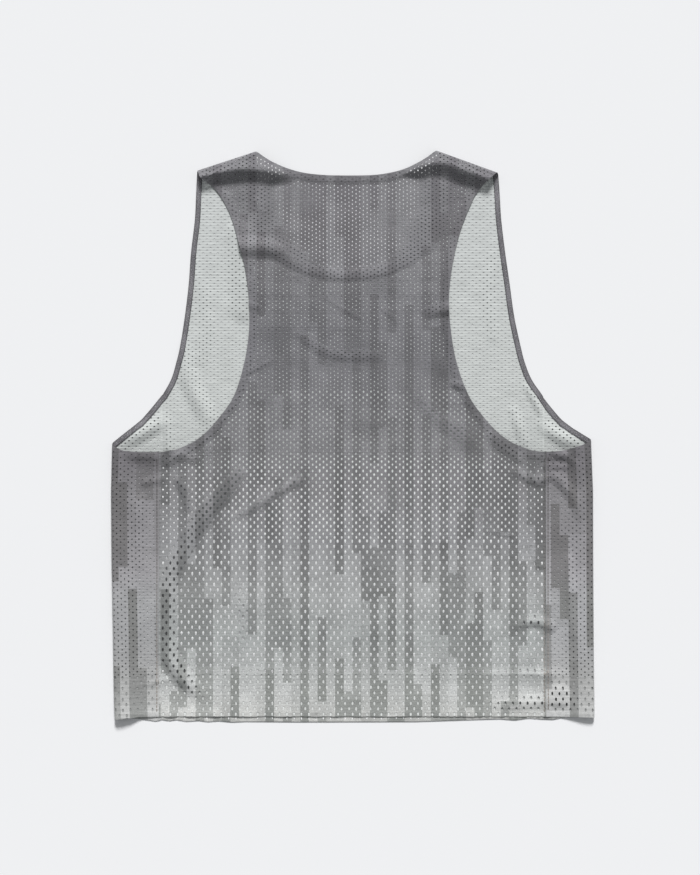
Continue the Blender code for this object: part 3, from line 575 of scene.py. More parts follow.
def raised(surface, rise):
    """The same surface, moved outwards."""
    def lay(a, b):
        point, out = surface(a, b)
        return point + out * rise, out
    return lay


def hemmed(surface, hem_at):
    """Carries a surface round its hem fold, so that the cloth past it lies inside."""
    down = np.array([0.0, -1.0, 0.0])

    def lay(a, b):
        turn = hem_at(a) + HEM_RADIUS
        past = np.maximum(turn - b, 0)
        angle = np.minimum(past / HEM_RADIUS, np.pi)[:, None]
        tucked = np.maximum(past - np.pi * HEM_RADIUS, 0)
        point, out = surface(a, np.where(past > 0, turn + tucked, b))
        apart = crease_height(point[:, 0], point[:, 1], HEM_CRESTS) * (out[:, 2] > 0.5)
        point[:, 2] -= apart * np.clip(tucked / HEM_OPENS, 0, 1)
        point = point - out * HEM_RADIUS * (1 - np.cos(angle)) + down * HEM_RADIUS * np.sin(angle)
        return point, out * np.cos(angle) + down * np.sin(angle)
    return lay


def back_hem(x):
    return BACK_HEM_Y + 0 * x


def front_hem(x):
    return BACK_HEM_Y - look_up(FRONT_HEM_DROP, x)


ON_BACK, ON_FRONT = laid(over_the_shoulder, 1, 1), laid(over_the_shoulder, -1, -1)
lay_back, lay_front = hemmed(ON_BACK, back_hem), hemmed(ON_FRONT, front_hem)
SIDE_HEM = {side: lambda s, side=side: BACK_HEM_Y - at_side(SIDE_HEM_DROP, s, side)
            for side in (-1, 1)}
lay_side = {side: hemmed(laid(round_the_side, -side, side), SIDE_HEM[side]) for side in (-1, 1)}
print("a lay function for the back, the front and each side")

# %% [markdown]
# ## The holes of the mesh
# The knit is open: rows of eyelets, each row set half a step from the last. Up at the shoulders
# they are small and close, towards the hem they grow into long ovals. A transparent texture would
# be lighter, but a real hole shows what lies under it and lets light in, and it is there from
# every side. Each hole is a ring of constraint edges in one flat triangulation, and the
# triangles inside the rings are left out.

# %% Rows of eyelets
HOLE_STEP = 7.94            # between two holes of a row
# From this height down: row spacing, hole width, hole height, sides of its outline.
BACK_MESH = [
    (330, 2.25, 1.85, 1.95, 4), (50, 3.05, 2.30, 3.20, 4), (-33, 4.03, 1.90, 3.60, 6),
    (-112, 5.88, 2.05, 4.40, 6), (BACK_HEM_Y, 5.88, 1.7, 3.6, 4),
]
FRONT_MESH = [
    (330, 3.02, 1.85, 1.55, 4), (110, 2.45, 1.80, 1.55, 4), (-33, 4.03, 1.45, 2.70, 4),
    (-112, 5.88, 1.75, 3.90, 4),
]
SIDE_MESH = [(60, 3.07, 1.60, 1.95, 5), (-262, 5.88, 1.9, 4.3, 6), (BACK_HEM_Y, 5.88, 1.6, 3.4, 4)]
HOLE_JITTER = 0.14
SIZE_JITTER, SIZE_RANGE = 0.06, (0.8, 1.2)
EDGE_CLEAR, FOLD_CLEAR = 1.1, 0.4       # cloth left between a hole and an edge or the hem's fold


def eyelet_rows(zones, low):
    """The rows of eyelets from the top down to a height: height, and the values of its zone."""
    rows, y = [], zones[0][0]
    while y > low:
        zone = [zone for zone in zones if zone[0] >= y][-1]
        rows.append((y, *zone[1:]))
        y -= zone[1]
    return rows


def eyelets(outline, zones, turn_at, seed):
    """Holes inside an outline and clear of its hem fold: across, height, width, tall, sides."""
    chance = np.random.default_rng(seed)
    low, high = outline.min(axis=0), outline.max(axis=0)
    made = []
    for number, (y, spacing, *size) in enumerate(eyelet_rows(zones, low[1])):
        first = np.floor(low[0] / HOLE_STEP) + 0.5 * (number % 2)
        x = (first + np.arange((high[0] - low[0]) / HOLE_STEP + 2)) * HOLE_STEP
        if y < high[1]:
            made.append(np.column_stack([x, *(np.full(len(x), v) for v in (y, *size))]))
    holes = np.vstack(made)
    holes[:, :2] += chance.normal(0, HOLE_JITTER, (len(holes), 2))
    holes[:, 2:4] *= chance.normal(1, SIZE_JITTER, (len(holes), 2)).clip(*SIZE_RANGE)
    x, y, width, tall, sides = holes.T
    edge, along = nearest(x, y, closed(outline))
    fold = turn_at(x) + HEM_RADIUS * (1 - np.pi / 2)
    clear = np.abs(y - fold) > HEM_RADIUS * np.pi / 2 + tall / 2 + FOLD_CLEAR
    return holes[inside(x, y, outline) & (edge > tall / 2 + EDGE_CLEAR) & clear]


def ring(x, y, width, tall, sides):
    """The outline of one eyelet, with a corner at its top and at its bottom."""
    turn = np.arange(sides) * 2 * np.pi / sides
    widest = np.abs(np.sin(turn)).max()
    return np.column_stack([x + np.sin(turn) * width / 2 / widest, y + np.cos(turn) * tall / 2])


print("net:", len(eyelet_rows(BACK_MESH, BACK_HEM_Y)), "rows of eyelets down the back")

# %% [markdown]
# ## From flat cut to thin shell
# The triangulated cut is laid, copied to both sides of the cloth's middle, and closed with
# narrow rims round its edge and in every hole. A Solidify modifier could thicken it, but two
# explicit faces let the printed side and the pale side have their own finish.

# %% Thin shells
SHARP = np.radians(50)
GUIDE_ROOM = 0.35           # cloth between a hole and a guide point
# Between the net's own points and a hole, the outline, and a guide point, as shares of its step.
NET_ROOM, NET_EDGE, NET_APART = 0.16, 0.3, 0.45
MERGE = 1e-6


def shell(name, flat, faces, lay, finishes):
    """A closed shell of cloth round the laid points. Its finishes are outside and inside."""
    point, out = lay(flat[:, 0], flat[:, 1])
    faces = np.array(faces)
    a, b, c = (point[faces[:, k]] for k in range(3))
    if (np.cross(b - a, c - a) * out[faces[:, 0]]).sum() < 0:
        faces = faces[:, ::-1]
    count = len(point)
    corners = np.vstack([point + out * CLOTH / 2, point - out * CLOTH / 2]) * MM
    sides = faces[:, [0, 1, 1, 2, 2, 0]].reshape(-1, 2)
    one_way, other_way = sides @ [count, 1], sides @ [1, count]
    rim = sides[~np.isin(one_way, other_way)]
    rims = np.column_stack([rim[:, 1], rim[:, 0], rim[:, 0] + count, rim[:, 1] + count])
    mesh = bpy.data.meshes.new(name)
    mesh.from_pydata(corners.tolist(), [],
                     [*faces.tolist(), *(faces[:, ::-1] + count).tolist(), *rims.tolist()])
    for finish in finishes:
        mesh.materials.append(finish)
    side = np.repeat([0, 1, 0], [len(faces), len(faces), len(rims)])
    mesh.polygons.foreach_set("material_index", side)
    corner = np.empty(len(mesh.loops), int)
    mesh.loops.foreach_get("vertex_index", corner)
    cut = mesh.uv_layers.new(name="cut")
    cut.data.foreach_set("uv", (flat[corner % count] * MM).ravel())
    mesh.shade_smooth()
    mesh.set_sharp_from_angle(angle=SHARP)
    piece = add(name, mesh)
    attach(piece, "root")
    print(name, len(faces) * 2 + len(rims) * 2, "triangles")
    return piece


def point_tree(points):
    """A search tree of flat points."""
    tree = kdtree.KDTree(len(points))
    for k, point in enumerate(points):
        tree.insert((point[0], point[1], 0), k)
    tree.balance()
    return tree


def cut_mesh(outline, holes, guides, step):
    """A flat triangulation of an outline with its holes left out."""
    low, high = outline.min(axis=0), outline.max(axis=0)
    net = np.array([(x + (k % 2) * step / 2, y)
                    for k, y in enumerate(np.arange(low[1] + step / 2, high[1], step * 0.87))
                    for x in np.arange(low[0], high[0], step)])
    net, guides = (points[inside(*points.T, outline)] for points in (net, guides))
    centres = point_tree(holes)

    def clear(point, room):
        """Whether a point keeps off the two holes nearest to it."""
        for (x, y, z), k, away in centres.find_n((*point, 0), 2):
            width, tall = holes[k, 2:4] / 2 + room
            if np.hypot((point[0] - x) / width, (point[1] - y) / tall) < 1:
                return False
        return True

    points = outline.tolist() + [p for p in guides.tolist() if clear(p, GUIDE_ROOM)]
    used = point_tree(points)
    edge, along = nearest(*net.T, closed(outline))
    points += [p for p in net[edge > step * NET_EDGE].tolist()
               if clear(p, step * NET_ROOM) and used.find((*p, 0))[2] > step * NET_APART]
    owner = [-1] * len(points)
    lines = [(k, (k + 1) % len(outline)) for k in range(len(outline))]
    for number, hole in enumerate(holes):
        first, corners = len(points), ring(*hole[:4], int(hole[4])).tolist()
        points += corners
        owner += [number] * len(corners)
        lines += [(first + k, first + (k + 1) % len(corners)) for k in range(len(corners))]
    result = delaunay_2d_cdt([Vector(p) for p in points], lines, [], 1, MERGE)
    flat, faces = np.array([tuple(p) for p in result[0]]), np.array(result[2])
    of_hole = np.array([owner[ids[0]] for ids in result[3]])[faces]
    filled = (of_hole[:, 0] >= 0) & (of_hole == of_hole[:, :1]).all(axis=1)
    return flat, faces[~filled]


print("cloth shells are", CLOTH, "mm thick")

# %% [markdown]
# ## Finishes
# All the cloth is one knit with one print. What they share is built once as shader node groups:
# the knit's fine courses, its mottled yarn, the print's slow fade from the dark neck to the pale
# hem, and crisp upright streaks of a lighter and a darker tone. Each finish then picks its own
# values. The groups read the cloth's flat cut, kept as a UV layer, so that the print and the
# knit follow the cloth over every fold. An image texture could give all this at once, but
# nothing in it could be changed on its own.

# %% Node helpers
class Wire:
    """A value in a shader, which adds, subtracts and multiplies as a number does."""

    def __init__(self, tree, socket):
        self.tree, self.socket = tree, socket

    def __add__(self, other):
        return maths("ADD", self, other)

    def __sub__(self, other):
        return maths("SUBTRACT", self, other)

    def __rsub__(self, other):
        return maths("SUBTRACT", other, self)

    def __mul__(self, other):
        return maths("MULTIPLY", self, other)


def feed(socket, value):
    """Links a wire to a socket, or sets the socket to a plain value."""
    if isinstance(value, Wire):
        value.tree.links.new(value.socket, socket)
    else:
        socket.default_value = value


def node(tree, kind, feeds=None, **settings):
    """A new node with its settings, and with its inputs fed by name or number."""
    made = tree.nodes.new(kind)
    for key, value in settings.items():
        setattr(made, key, value)
    for key, value in (feeds or {}).items():
        feed(made.inputs[key], value)
    return made


def wire(tree, kind, feeds, output=0, **settings):
    """One output of a new node."""
    return Wire(tree, node(tree, kind, feeds, **settings).outputs[output])


def maths(operation, *values):
    """A Math node on wires and numbers."""
    tree = next(value.tree for value in values if isinstance(value, Wire))
    return wire(tree, "ShaderNodeMath", dict(enumerate(values)), operation=operation)


def group(name, numbers, outputs, kind="Float"):
    """A node group that reads the cloth's coordinates, and numbers with their usual values."""
    tree = bpy.data.node_groups.new(name, "ShaderNodeTree")
    tree.interface.new_socket("Cloth", in_out="INPUT", socket_type="NodeSocketVector")
    for label, value in numbers.items():
        made = tree.interface.new_socket(label, in_out="INPUT", socket_type="NodeSocketFloat")
        made.default_value = value
    for label in outputs:
        tree.interface.new_socket(label, in_out="OUTPUT", socket_type=f"NodeSocket{kind}")
    given = node(tree, "NodeGroupInput").outputs
    wires = {label: Wire(tree, given[label]) for label in ("Cloth", *numbers)}
    return tree, wires, node(tree, "NodeGroupOutput").inputs


def use(made_group, cloth, **values):
    """Places a group beside the cloth's wire; gives its outputs by name."""
    placed = node(cloth.tree, "ShaderNodeGroup", {"Cloth": cloth, **values}, node_tree=made_group)
    return {output.name: Wire(cloth.tree, output) for output in placed.outputs}


def across_and_up(cloth):
    parts = node(cloth.tree, "ShaderNodeSeparateXYZ", {0: cloth})
    return [Wire(cloth.tree, parts.outputs[k]) for k in (0, 1)]


def counted(value, first, last, count=1.0):
    """0 at one height in millimetres and count at another, and steady past them."""
    return wire(value.tree, "ShaderNodeMapRange", {
        "From Min": first * MM, "From Max": last * MM, "To Max": count, "Value": value})


def stretched(cloth, across, up):
    """The cloth's own coordinates, scaled across and up."""
    return wire(cloth.tree, "ShaderNodeVectorMath", {0: cloth, 1: (across, up, 1)},
                operation="MULTIPLY")


def noise(vector, scale, detail=2.0, roughness=0.5):
    return wire(vector.tree, "ShaderNodeTexNoise", {
        "Scale": scale, "Detail": detail, "Roughness": roughness, "Vector": vector})


# %% [markdown]
# ## The knit
# A knitted cloth shows its courses, fine rows of loops that lie half a loop apart, and its yarn is
# never quite even. Each loop could be modelled, but there are some hundred thousand. Two sine
# waves give their height and also darken the colour a little where the loops dip, a painted shade
# of their relief. Stretched noise gives the drawn threads and the mottled yarn.

# %% The knit's courses
COURSE, WALE = 0.00153, 0.00132   # metres between rows and between columns of stitches
WAVER = 4.0                       # how far the rows stray, in radians of their wave


def make_knit_group():
    tree, given, gives = group("knit_courses", {"Relief": 1.0}, ["Height", "Shade"])
    cloth = given["Cloth"]
    x, y = across_and_up(cloth)
    rows = y * (2 * np.pi / COURSE) + noise(cloth, scale=60.0) * WAVER
    between = x * (2 * np.pi / WALE) + rows * 0.5
    stitch = maths("SINE", rows) * 0.6 + maths("SINE", between) * 0.4
    drawn = noise(stretched(cloth, across=55.0, up=700.0), scale=1.0, detail=3.0)
    lines = (drawn - 0.5) * 0.6
    feed(gives["Height"], stitch * given["Relief"])
    # Shade: the drawn threads, and painted shade where the loops dip.
    feed(gives["Shade"], lines + stitch * 0.09 + 1.0)
    return tree


# %% The mottled yarn
def make_yarn_group():
    tree, given, gives = group("mottled_yarn", {"Amount": 0.1}, ["Shade"])
    fine = noise(stretched(given["Cloth"], across=1.0, up=1.4), scale=800.0, roughness=0.6)
    broad = noise(given["Cloth"], scale=38.0, detail=3.0)
    both = (fine - 0.5) * 1.6 + (broad - 0.5) * 0.7
    feed(gives["Shade"], both * given["Amount"] + 1.0)
    return tree


# %% [markdown]
# Between two rows of eyelets the knit makes a slight rib. The colour is darkened along each row of
# eyelets, and most beside each eyelet: painted shade of the hollows between the ribs and of the
# holes. A texture of such lines would drift from the holes, so a group counts the rows down the
# cloth just as the holes were counted.

# %% Painted shade along the rows
CLOTH_LOW = -360.0                # below the lowest point of any cut


def make_row_shade_group(name, zones):
    """Painted shade: the first mask is 1 along each row of eyelets, and the second is 1 where an
    eyelet sits in its row.
    """
    rows = eyelet_rows(zones, CLOTH_LOW)
    turns = [k for k in range(1, len(rows)) if rows[k][1] != rows[k - 1][1]]
    breaks = [0, *turns, len(rows) - 1]
    tree, given, gives = group(name, {}, ["Rib", "EyeletShade"])
    x, y = across_and_up(given["Cloth"])
    row = 0.0
    for first, last in zip(breaks, breaks[1:]):
        row = counted(y, rows[first][0], rows[last][0], last - first) + row
    wave = maths("COSINE", row * (2 * np.pi))
    row_shade = maths("POWER", maths("MULTIPLY_ADD", wave, 0.5, 0.5), 2.0)
    turn = maths("COSINE", maths("ROUND", row) * np.pi)
    column = maths("COSINE", x * (2 * np.pi / (HOLE_STEP * MM)))
    feed(gives["Rib"], row_shade)
    feed(gives["EyeletShade"], maths("MAXIMUM", turn * column, 0.0) * row_shade)
    return tree


# %% [markdown]
# ## The print
# The print is sublimated into the yarn: upright streaks with stepped ends in two tones, which
# both fade from dark at the neck to pale at the hem. An image could hold it, but it would blur up
# close. Here the cloth is counted into cells, chance makes each one dark or light, and a table of
# shades by height gives the two tones.

# %% The upright streaks
STREAK_WIDTH, STREAK_LENGTH = 0.0095, 0.092       # metres
COLUMN_SHIFT = 7.0                # cells that a column may be moved up
DARK_CHANCE, MORE_DARK = 0.3, 0.8       # of a cell, and twice what every other column adds


def white_noise(place, socket, dimensions):
    return wire(place.tree, "ShaderNodeTexWhiteNoise", {socket: place}, noise_dimensions=dimensions)


def make_streak_group():
    """0 in a dark streak and 1 in a light one: columns of cells, each dark or light by
    chance, with more light ones in every other column."""
    tree, given, gives = group("upright_streaks", {"Width": 0.01, "Length": 0.08, "Start": 0.0},
                               ["Streak"])
    x, y = across_and_up(given["Cloth"])
    number = maths("FLOOR", maths("DIVIDE", x, given["Width"]) + given["Start"])
    up = maths("DIVIDE", y, given["Length"])
    shift = white_noise(number, "W", "1D")
    cell = maths("FLOOR", maths("MULTIPLY_ADD", shift, COLUMN_SHIFT, up))
    place = wire(tree, "ShaderNodeCombineXYZ", {0: number, 1: cell})
    odd = maths("FRACT", number * 0.5)          # 0 or a half
    limit = maths("MULTIPLY_ADD", odd, MORE_DARK, DARK_CHANCE)
    feed(gives["Streak"], maths("GREATER_THAN", white_noise(place, "Vector", "2D"), limit))
    return tree


# %% The fade from neck to hem
# Shades as they look in the studio light, 0 to 255, of the dark and the light tone of the print,
# by height in millimetres: on the body, and on the sides.
FADE = [
    (301, (119, 117, 121), (133, 132, 135)), (215, (117, 115, 118), (135, 134, 137)),
    (105, (104, 103, 106), (122, 121, 125)), (0, (113, 112, 114), (132, 131, 134)),
    (-58, (113, 113, 114), (136, 135, 137)), (-113, (115, 115, 116), (152, 152, 154)),
    (-167, (130, 131, 130), (168, 169, 169)), (-222, (125, 127, 126), (168, 171, 170)),
    (-248, (141, 143, 141), (177, 179, 178)), (-276, (144, 146, 143), (194, 195, 194)),
    (-305, (152, 154, 151), (204, 204, 201)),
]
SIDE_FADE = [
    (60, (104, 103, 106), (118, 117, 120)), (-30, (106, 104, 106), (130, 127, 131)),
    (-56, (113, 111, 112), (143, 141, 144)), (-87, (119, 117, 118), (147, 145, 148)),
    (-117, (121, 119, 120), (154, 152, 155)), (-148, (130, 128, 129), (169, 167, 170)),
    (-178, (132, 132, 131), (175, 175, 177)), (-209, (129, 129, 128), (172, 172, 174)),
    (-239, (136, 136, 135), (170, 170, 171)), (-270, (144, 144, 143), (185, 185, 184)),
    (-305, (157, 158, 156), (210, 210, 209)),
]
# Inside shades, by height: the front, the back with its turned-up hem, and the sides.
# The front is pale where it shows in the armholes and a little darker towards the underarm.
# Below that, under the back, it is painted near white: painted light that makes the holes over it
# look bright.
FRONT_INSIDE_AND_PAINTED_LIGHT = [
    (300, (206, 209, 208)), (60, (205, 208, 206)), (20, (204, 207, 205)), (-2, (198, 201, 199)),
    (-17, (194, 197, 195)), (-24, (230, 233, 231)), (-60, (246, 247, 246)),
    (-305, (246, 247, 246)),
]
# The back's inside is painted mid grey above its hem: painted shade that keeps the holes dark where
# the back is raised. Its turned-up hem has the cloth's own pale.
BACK_INSIDE_AND_PAINTED_SHADE = [
    (300, (160, 162, 160)), (-300, (160, 162, 160)), (-307, (226, 228, 226)),
    (-352, (230, 232, 230)),
]
# The sides are pale where they show in the armholes, and painted shade below.
SIDE_INSIDE_AND_PAINTED_SHADE = [
    (60, (204, 207, 205)), (20, (204, 207, 205)), (-2, (198, 201, 199)), (-15, (194, 197, 195)),
    (-26, (150, 151, 150)), (-352, (160, 161, 160)),
]
TABLE_SHADE = 240 / 255           # how the table looks in the same light
PALEST = 0.9                      # of the cloth's own colour


def linear(shade):
    """A shade as it looks, 0 to 1, as linear light."""
    shade = np.array(shade)
    return np.where(shade <= 0.04045, shade / 12.92, ((shade + 0.055) / 1.055) ** 2.4)


LIT = float(linear(TABLE_SHADE)) / TABLE_COLOUR[1]      # light that a flat matt face sends back


def own_colour(shade):
    """The cloth's own colour where it should look like a shade, 0 to 255."""
    return tuple(float(v) for v in np.minimum(linear(np.array(shade) / 255) / LIT, PALEST))


def make_fade_group(name, rows):
    """A colour that changes with height on the cut: rows of height in millimetres, shade."""
    top, bottom = rows[0][0], rows[-1][0]
    tree, given, gives = group(name, {}, ["Colour"], "Color")
    down = counted(across_and_up(given["Cloth"])[1], top, bottom)
    colours = node(tree, "ShaderNodeValToRGB", {"Fac": down})
    stops = colours.color_ramp.elements
    for k, (height, shade) in enumerate(rows):
        at = (height - top) / (bottom - top)
        stop = stops[0] if k == 0 else stops.new(at) if k < len(rows) - 1 else stops[-1]
        stop.position, stop.color = at, (*own_colour(shade), 1)
    feed(gives["Colour"], Wire(tree, colours.outputs["Color"]))
    return tree


def make_tones(name, rows):
    """The fade of a print's dark tone, and that of its light tone."""
    return [make_fade_group(f"{name}_{tone}_tone", [(row[0], row[k]) for row in rows])
            for k, tone in ((1, "dark"), (2, "light"))]


KNIT, YARN, STREAKS = make_knit_group(), make_yarn_group(), make_streak_group()
BACK_ROW_SHADE, FRONT_ROW_SHADE, SIDE_ROW_SHADE = (make_row_shade_group(name, zones) for name, zones in (
    ("back_row_shade", BACK_MESH), ("front_row_shade", FRONT_MESH), ("side_row_shade", SIDE_MESH)))
BODY_TONES, SIDE_TONES = make_tones("body", FADE), make_tones("side", SIDE_FADE)
print("node groups:", ", ".join(sorted(g.name for g in bpy.data.node_groups)))

# %% [markdown]
# ## Putting the finishes together
# A finish is a matt Principled shader with a slight sheen, as polyester knit has. Its colour is a
# tone, darkened and lightened by the groups, and its bump is the knit's. One function makes
# them all, because they differ in a few numbers only.

# %% Building a cloth finish
MATT = {"Roughness": 0.88, "Specular IOR Level": 0.18, "Sheen Weight": 0.08}
BUMP = {"Strength": 0.55, "Distance": 0.00012}


def cloth_finish(name, tone_on, mottle, row_shade_group=None, row_shade=0.0, eyelet_shade=0.0):
    """A matt knit finish. tone_on(cloth) gives the colour that the knit shades."""
    finish = bpy.data.materials.new(name)
    finish.use_nodes = True
    tree = finish.node_tree
    cloth = wire(tree, "ShaderNodeUVMap", {}, uv_map="cut")
    knit = use(KNIT, cloth, Relief=1.0)
    shade = knit["Shade"] * use(YARN, cloth, Amount=mottle)["Shade"]
    # painted shade along the rows of eyelets and beside each eyelet
    if row_shade_group:
        rows = use(row_shade_group, cloth)
        shade = shade * (1.0 - (rows["Rib"] * row_shade + rows["EyeletShade"] * eyelet_shade))
    tint = wire(tree, "ShaderNodeVectorMath", {0: tone_on(cloth), "Scale": shade},
                operation="SCALE")
    bump = wire(tree, "ShaderNodeBump", {**BUMP, "Height": knit["Height"]}, "Normal")
    shader = tree.nodes["Principled BSDF"]
    for label, value in {"Base Color": tint, "Normal": bump, **MATT}.items():
        feed(shader.inputs[label], value)
    return finish


WIDER, LONGER, WIDE_SHARE = 2, 1.5, 0.25      # the wide streaks, set against the narrow ones
NARROW_START = 40           # how many columns on the narrow streaks are read


def printed_tone(tones, start):
    """The print: its dark and its light tone, picked by a wide and a narrow set of streaks."""
    def tone_on(cloth):
        wide = use(STREAKS, cloth, Width=WIDER * STREAK_WIDTH,
                   Length=LONGER * STREAK_LENGTH, Start=start)
        narrow = use(STREAKS, cloth, Width=STREAK_WIDTH, Length=STREAK_LENGTH,
                     Start=WIDER * start + NARROW_START)
        picked = wide["Streak"] * WIDE_SHARE + narrow["Streak"] * (1 - WIDE_SHARE)
        dark, light = (use(tone, cloth)["Colour"] for tone in tones)
        return wire(cloth.tree, "ShaderNodeMix", {"Factor": picked, 6: dark, 7: light}, 2,
                    data_type="RGBA")
    return tone_on


def fading_tone(name, rows):
    fade = make_fade_group(name, rows)
    return lambda cloth: use(fade, cloth)["Colour"]


# %% The finishes
# Of a binding, by the distance in from its edge: its own dark tone with painted shading across it,
# painted shade along its inner edge, painted light in the middle, and painted shade on the roll.
BINDING_TONE_AND_SHADING = [
    (12, (88, 87, 90)), (5.3, (88, 87, 90)), (4.3, (119, 117, 121)), (1.4, (119, 117, 121)),
    (0.8, (104, 102, 105)), (-1, (104, 102, 105)),
]
# Of the sewn seams and the flat stitches, by height.
SEAM_SHADES = [(300, (120, 116, 112)), (0, (120, 116, 112)), (-300, (140, 136, 132))]
STITCH_SHADES = [
    (300, (98, 96, 97)), (-60, (102, 100, 100)), (-110, (116, 113, 113)), (-180, (140, 137, 135)),
    (-300, (154, 147, 141)),
]

# The last two numbers of a finish are how much painted shade lies along the rows of eyelets and
# beside each eyelet.
PRINTED, FRONT_PRINTED = (
    cloth_finish(name, printed_tone(BODY_TONES, start), 0.8, row_shade_group, row_shade=0.06, eyelet_shade=0.22)
    for name, start, row_shade_group in (("printed_mesh", 0.5, BACK_ROW_SHADE),
                              ("printed_front_mesh", 20.5, FRONT_ROW_SHADE)))
SIDE_PRINTED = {
    side: cloth_finish(f"printed_side_mesh_{hand}", printed_tone(SIDE_TONES, start), 0.5,
                       SIDE_ROW_SHADE, row_shade=0.05, eyelet_shade=0.1)
    for (side, hand), start in zip(SIDES, (307.5, 93.5))
}
INSIDES = {
    name: cloth_finish(f"{name}_inside", fading_tone(f"{name}_inside_tone", rows), 0.2, row_shade_group,
                       row_shade=0.17, eyelet_shade=0.22)
    for name, rows, row_shade_group in (("front", FRONT_INSIDE_AND_PAINTED_LIGHT, FRONT_ROW_SHADE), ("back", BACK_INSIDE_AND_PAINTED_SHADE, BACK_ROW_SHADE),
                             ("side", SIDE_INSIDE_AND_PAINTED_SHADE, SIDE_ROW_SHADE))
}
BOUND, SEWN, STITCHED, SEWN_INSIDE = (
    cloth_finish(name, fading_tone(f"{name}_tone", rows), mottle)
    for name, rows, mottle in (("binding_mesh", BINDING_TONE_AND_SHADING, 1.8),
                               ("sewn_seam", SEAM_SHADES, 0.3),
                               ("seam_stitches", STITCH_SHADES, 0.3),
                               # the sewn inside takes the front inside's shades, painted light
                               # included
                               ("sewn_inside", FRONT_INSIDE_AND_PAINTED_LIGHT, 0.5)))
print("finishes:", len(bpy.data.materials) - 1, "of cloth")

# %% [markdown]
# ## Front and back
# Each is one piece from the shoulder seams to the hem. A grid trimmed to shape would leave a
# ragged edge, so the outline is walked once round: down the left armhole and side, along the raw
# edge of the turned-up hem, and back up to the neck. Guide points set the net's corners close
# together where the cloth bends.

# %% Front and back
EDGE_STEP, ROW_STEP, NET_STEP = 3.0, 5.0, 7.0
SEAM_LENGTH = 300.0         # about how long a side seam is
SHOULDER_POINTS = 16        # along a shoulder seam
ROLL_STOPS = np.linspace(0, 1, 8)[1:]
ROLL_COLUMNS = np.linspace(-0.1, 1.1, 22)           # as shares of a shoulder fold
HEM_STOPS = HEM_RADIUS * (1 - np.pi * np.linspace(0, 1, 5))
HEM_END = HEM_STOPS[-1] - HEM_DEPTH + HEM_RADIUS
TURN_STOPS = np.concatenate([HEM_STOPS, np.linspace(HEM_STOPS[-1], HEM_END, 10)[1:-1]])
HEM_GUIDE_STEP, HEM_GUIDE_START = 3.5, 2.0
# Holes shrink towards the back's side seams: from and to this far out, and this high.
SHRINK_ACROSS, SHRINK_UP = (163, 188), (-150, -110)


def panel_outline(neck, armholes, seam_x, hem_at):
    left, right = evenly(armholes[-1], EDGE_STEP), evenly(armholes[1], EDGE_STEP)
    columns = np.linspace(-seam_x, seam_x, round(2 * seam_x / ROW_STEP) + 1)
    hem = hem_at(columns)
    down = np.linspace(0, 1, round(SEAM_LENGTH / ROW_STEP))[1:-1]
    rows = [left[-1][1] + (hem[0] + HEM_STOPS[0] - left[-1][1]) * share for share in down]
    left_seam = [(-seam_x, y) for y in [*rows, *(hem[0] + TURN_STOPS)]]
    right_seam = [(seam_x, y) for y in [*rows, *(hem[-1] + TURN_STOPS)]]
    bottom = np.column_stack([columns, hem + HEM_END])
    neck = evenly(neck, EDGE_STEP)
    shoulders = [np.linspace(a, b, SHOULDER_POINTS)[1:-1]
                 for a, b in ((right[0], neck[-1]), (neck[0], left[0]))]
    return np.vstack([left, left_seam, bottom, right_seam[::-1], right[::-1], shoulders[0],
                      neck[::-1], shoulders[1]])


def roll_guides():
    """Points in rows beside each shoulder fold, close enough together to turn smoothly."""
    points = []
    for tip, neck in ((LEFT_TIP, LEFT_NECK), (RIGHT_TIP, RIGHT_NECK)):
        for share in ROLL_COLUMNS:
            base = np.array(tip) + share * np.subtract(neck, tip)
            along, inward, radius, in_x, in_y = shoulder(*base)
            for depth in radius * (np.pi / 2 * ROLL_STOPS - (np.pi / 2 - 1)):
                points.append(base + np.array([in_x, in_y]) * depth)
    return np.array(points)


def hem_guides(columns, hem_at):
    """Points in rows round the fold of a hem."""
    return [np.column_stack([columns, hem_at(columns) + stop]) for stop in HEM_STOPS]


def seam_guides(seam_x):
    """Rows of points beside the side seams, where the cloth steps up onto the seam."""
    rows = np.arange(BACK_HEM_Y + 3, BACK_TOP + 60, ROW_STEP)
    return np.array([(side * (seam_x - away), y) for side in (-1, 1) for away in SEAM_STEP
                     for y in rows])


def make_panel(name, neck, armholes, seam_x, hem_at, zones, lay, finishes, seed, shrink):
    """A panel with its net. Shrink is how much smaller its holes are beside the seams."""
    outline = panel_outline(neck, armholes, seam_x, hem_at)
    holes = eyelets(outline, zones, hem_at, seed)
    beside = ((1 - ramp(np.abs(holes[:, 0]), *SHRINK_ACROSS))
              * (1 - ramp(holes[:, 1], *SHRINK_UP)))
    holes[:, 2:4] *= 1 - shrink * beside[:, None]
    columns = np.arange(-seam_x + HEM_GUIDE_START, seam_x, HEM_GUIDE_STEP)
    guides = np.vstack([roll_guides(), *hem_guides(columns, hem_at), seam_guides(seam_x)])
    flat, faces = cut_mesh(outline, holes, guides, NET_STEP)
    print(name, len(holes), "holes")
    return shell(name, flat, faces, lay, finishes)


back = make_panel("back_cloth", BACK_NECK_CURVE, BACK_ARMHOLES, BACK_EDGE_X, back_hem,
                  BACK_MESH, lay_back, [PRINTED, INSIDES["back"]], seed=3, shrink=0.2)
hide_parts("back_panel")
front = make_panel("front_cloth", FRONT_NECK_CURVE, FRONT_ARMHOLES, FRONT_EDGE_X, front_hem,
                   FRONT_MESH, lay_front, [FRONT_PRINTED, INSIDES["front"]], seed=4,
                   shrink=0.0)
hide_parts("front_panel")

# %% [markdown]
# ## Side panels
# A side panel is a narrow strip that starts at the front seam, rolls round the side and ends at
# the back seam. The front could simply be made wider and folded over, but the real seams are
# there. It is cut in the distance round the cloth and the height, so that its holes keep their
# size over the roll.

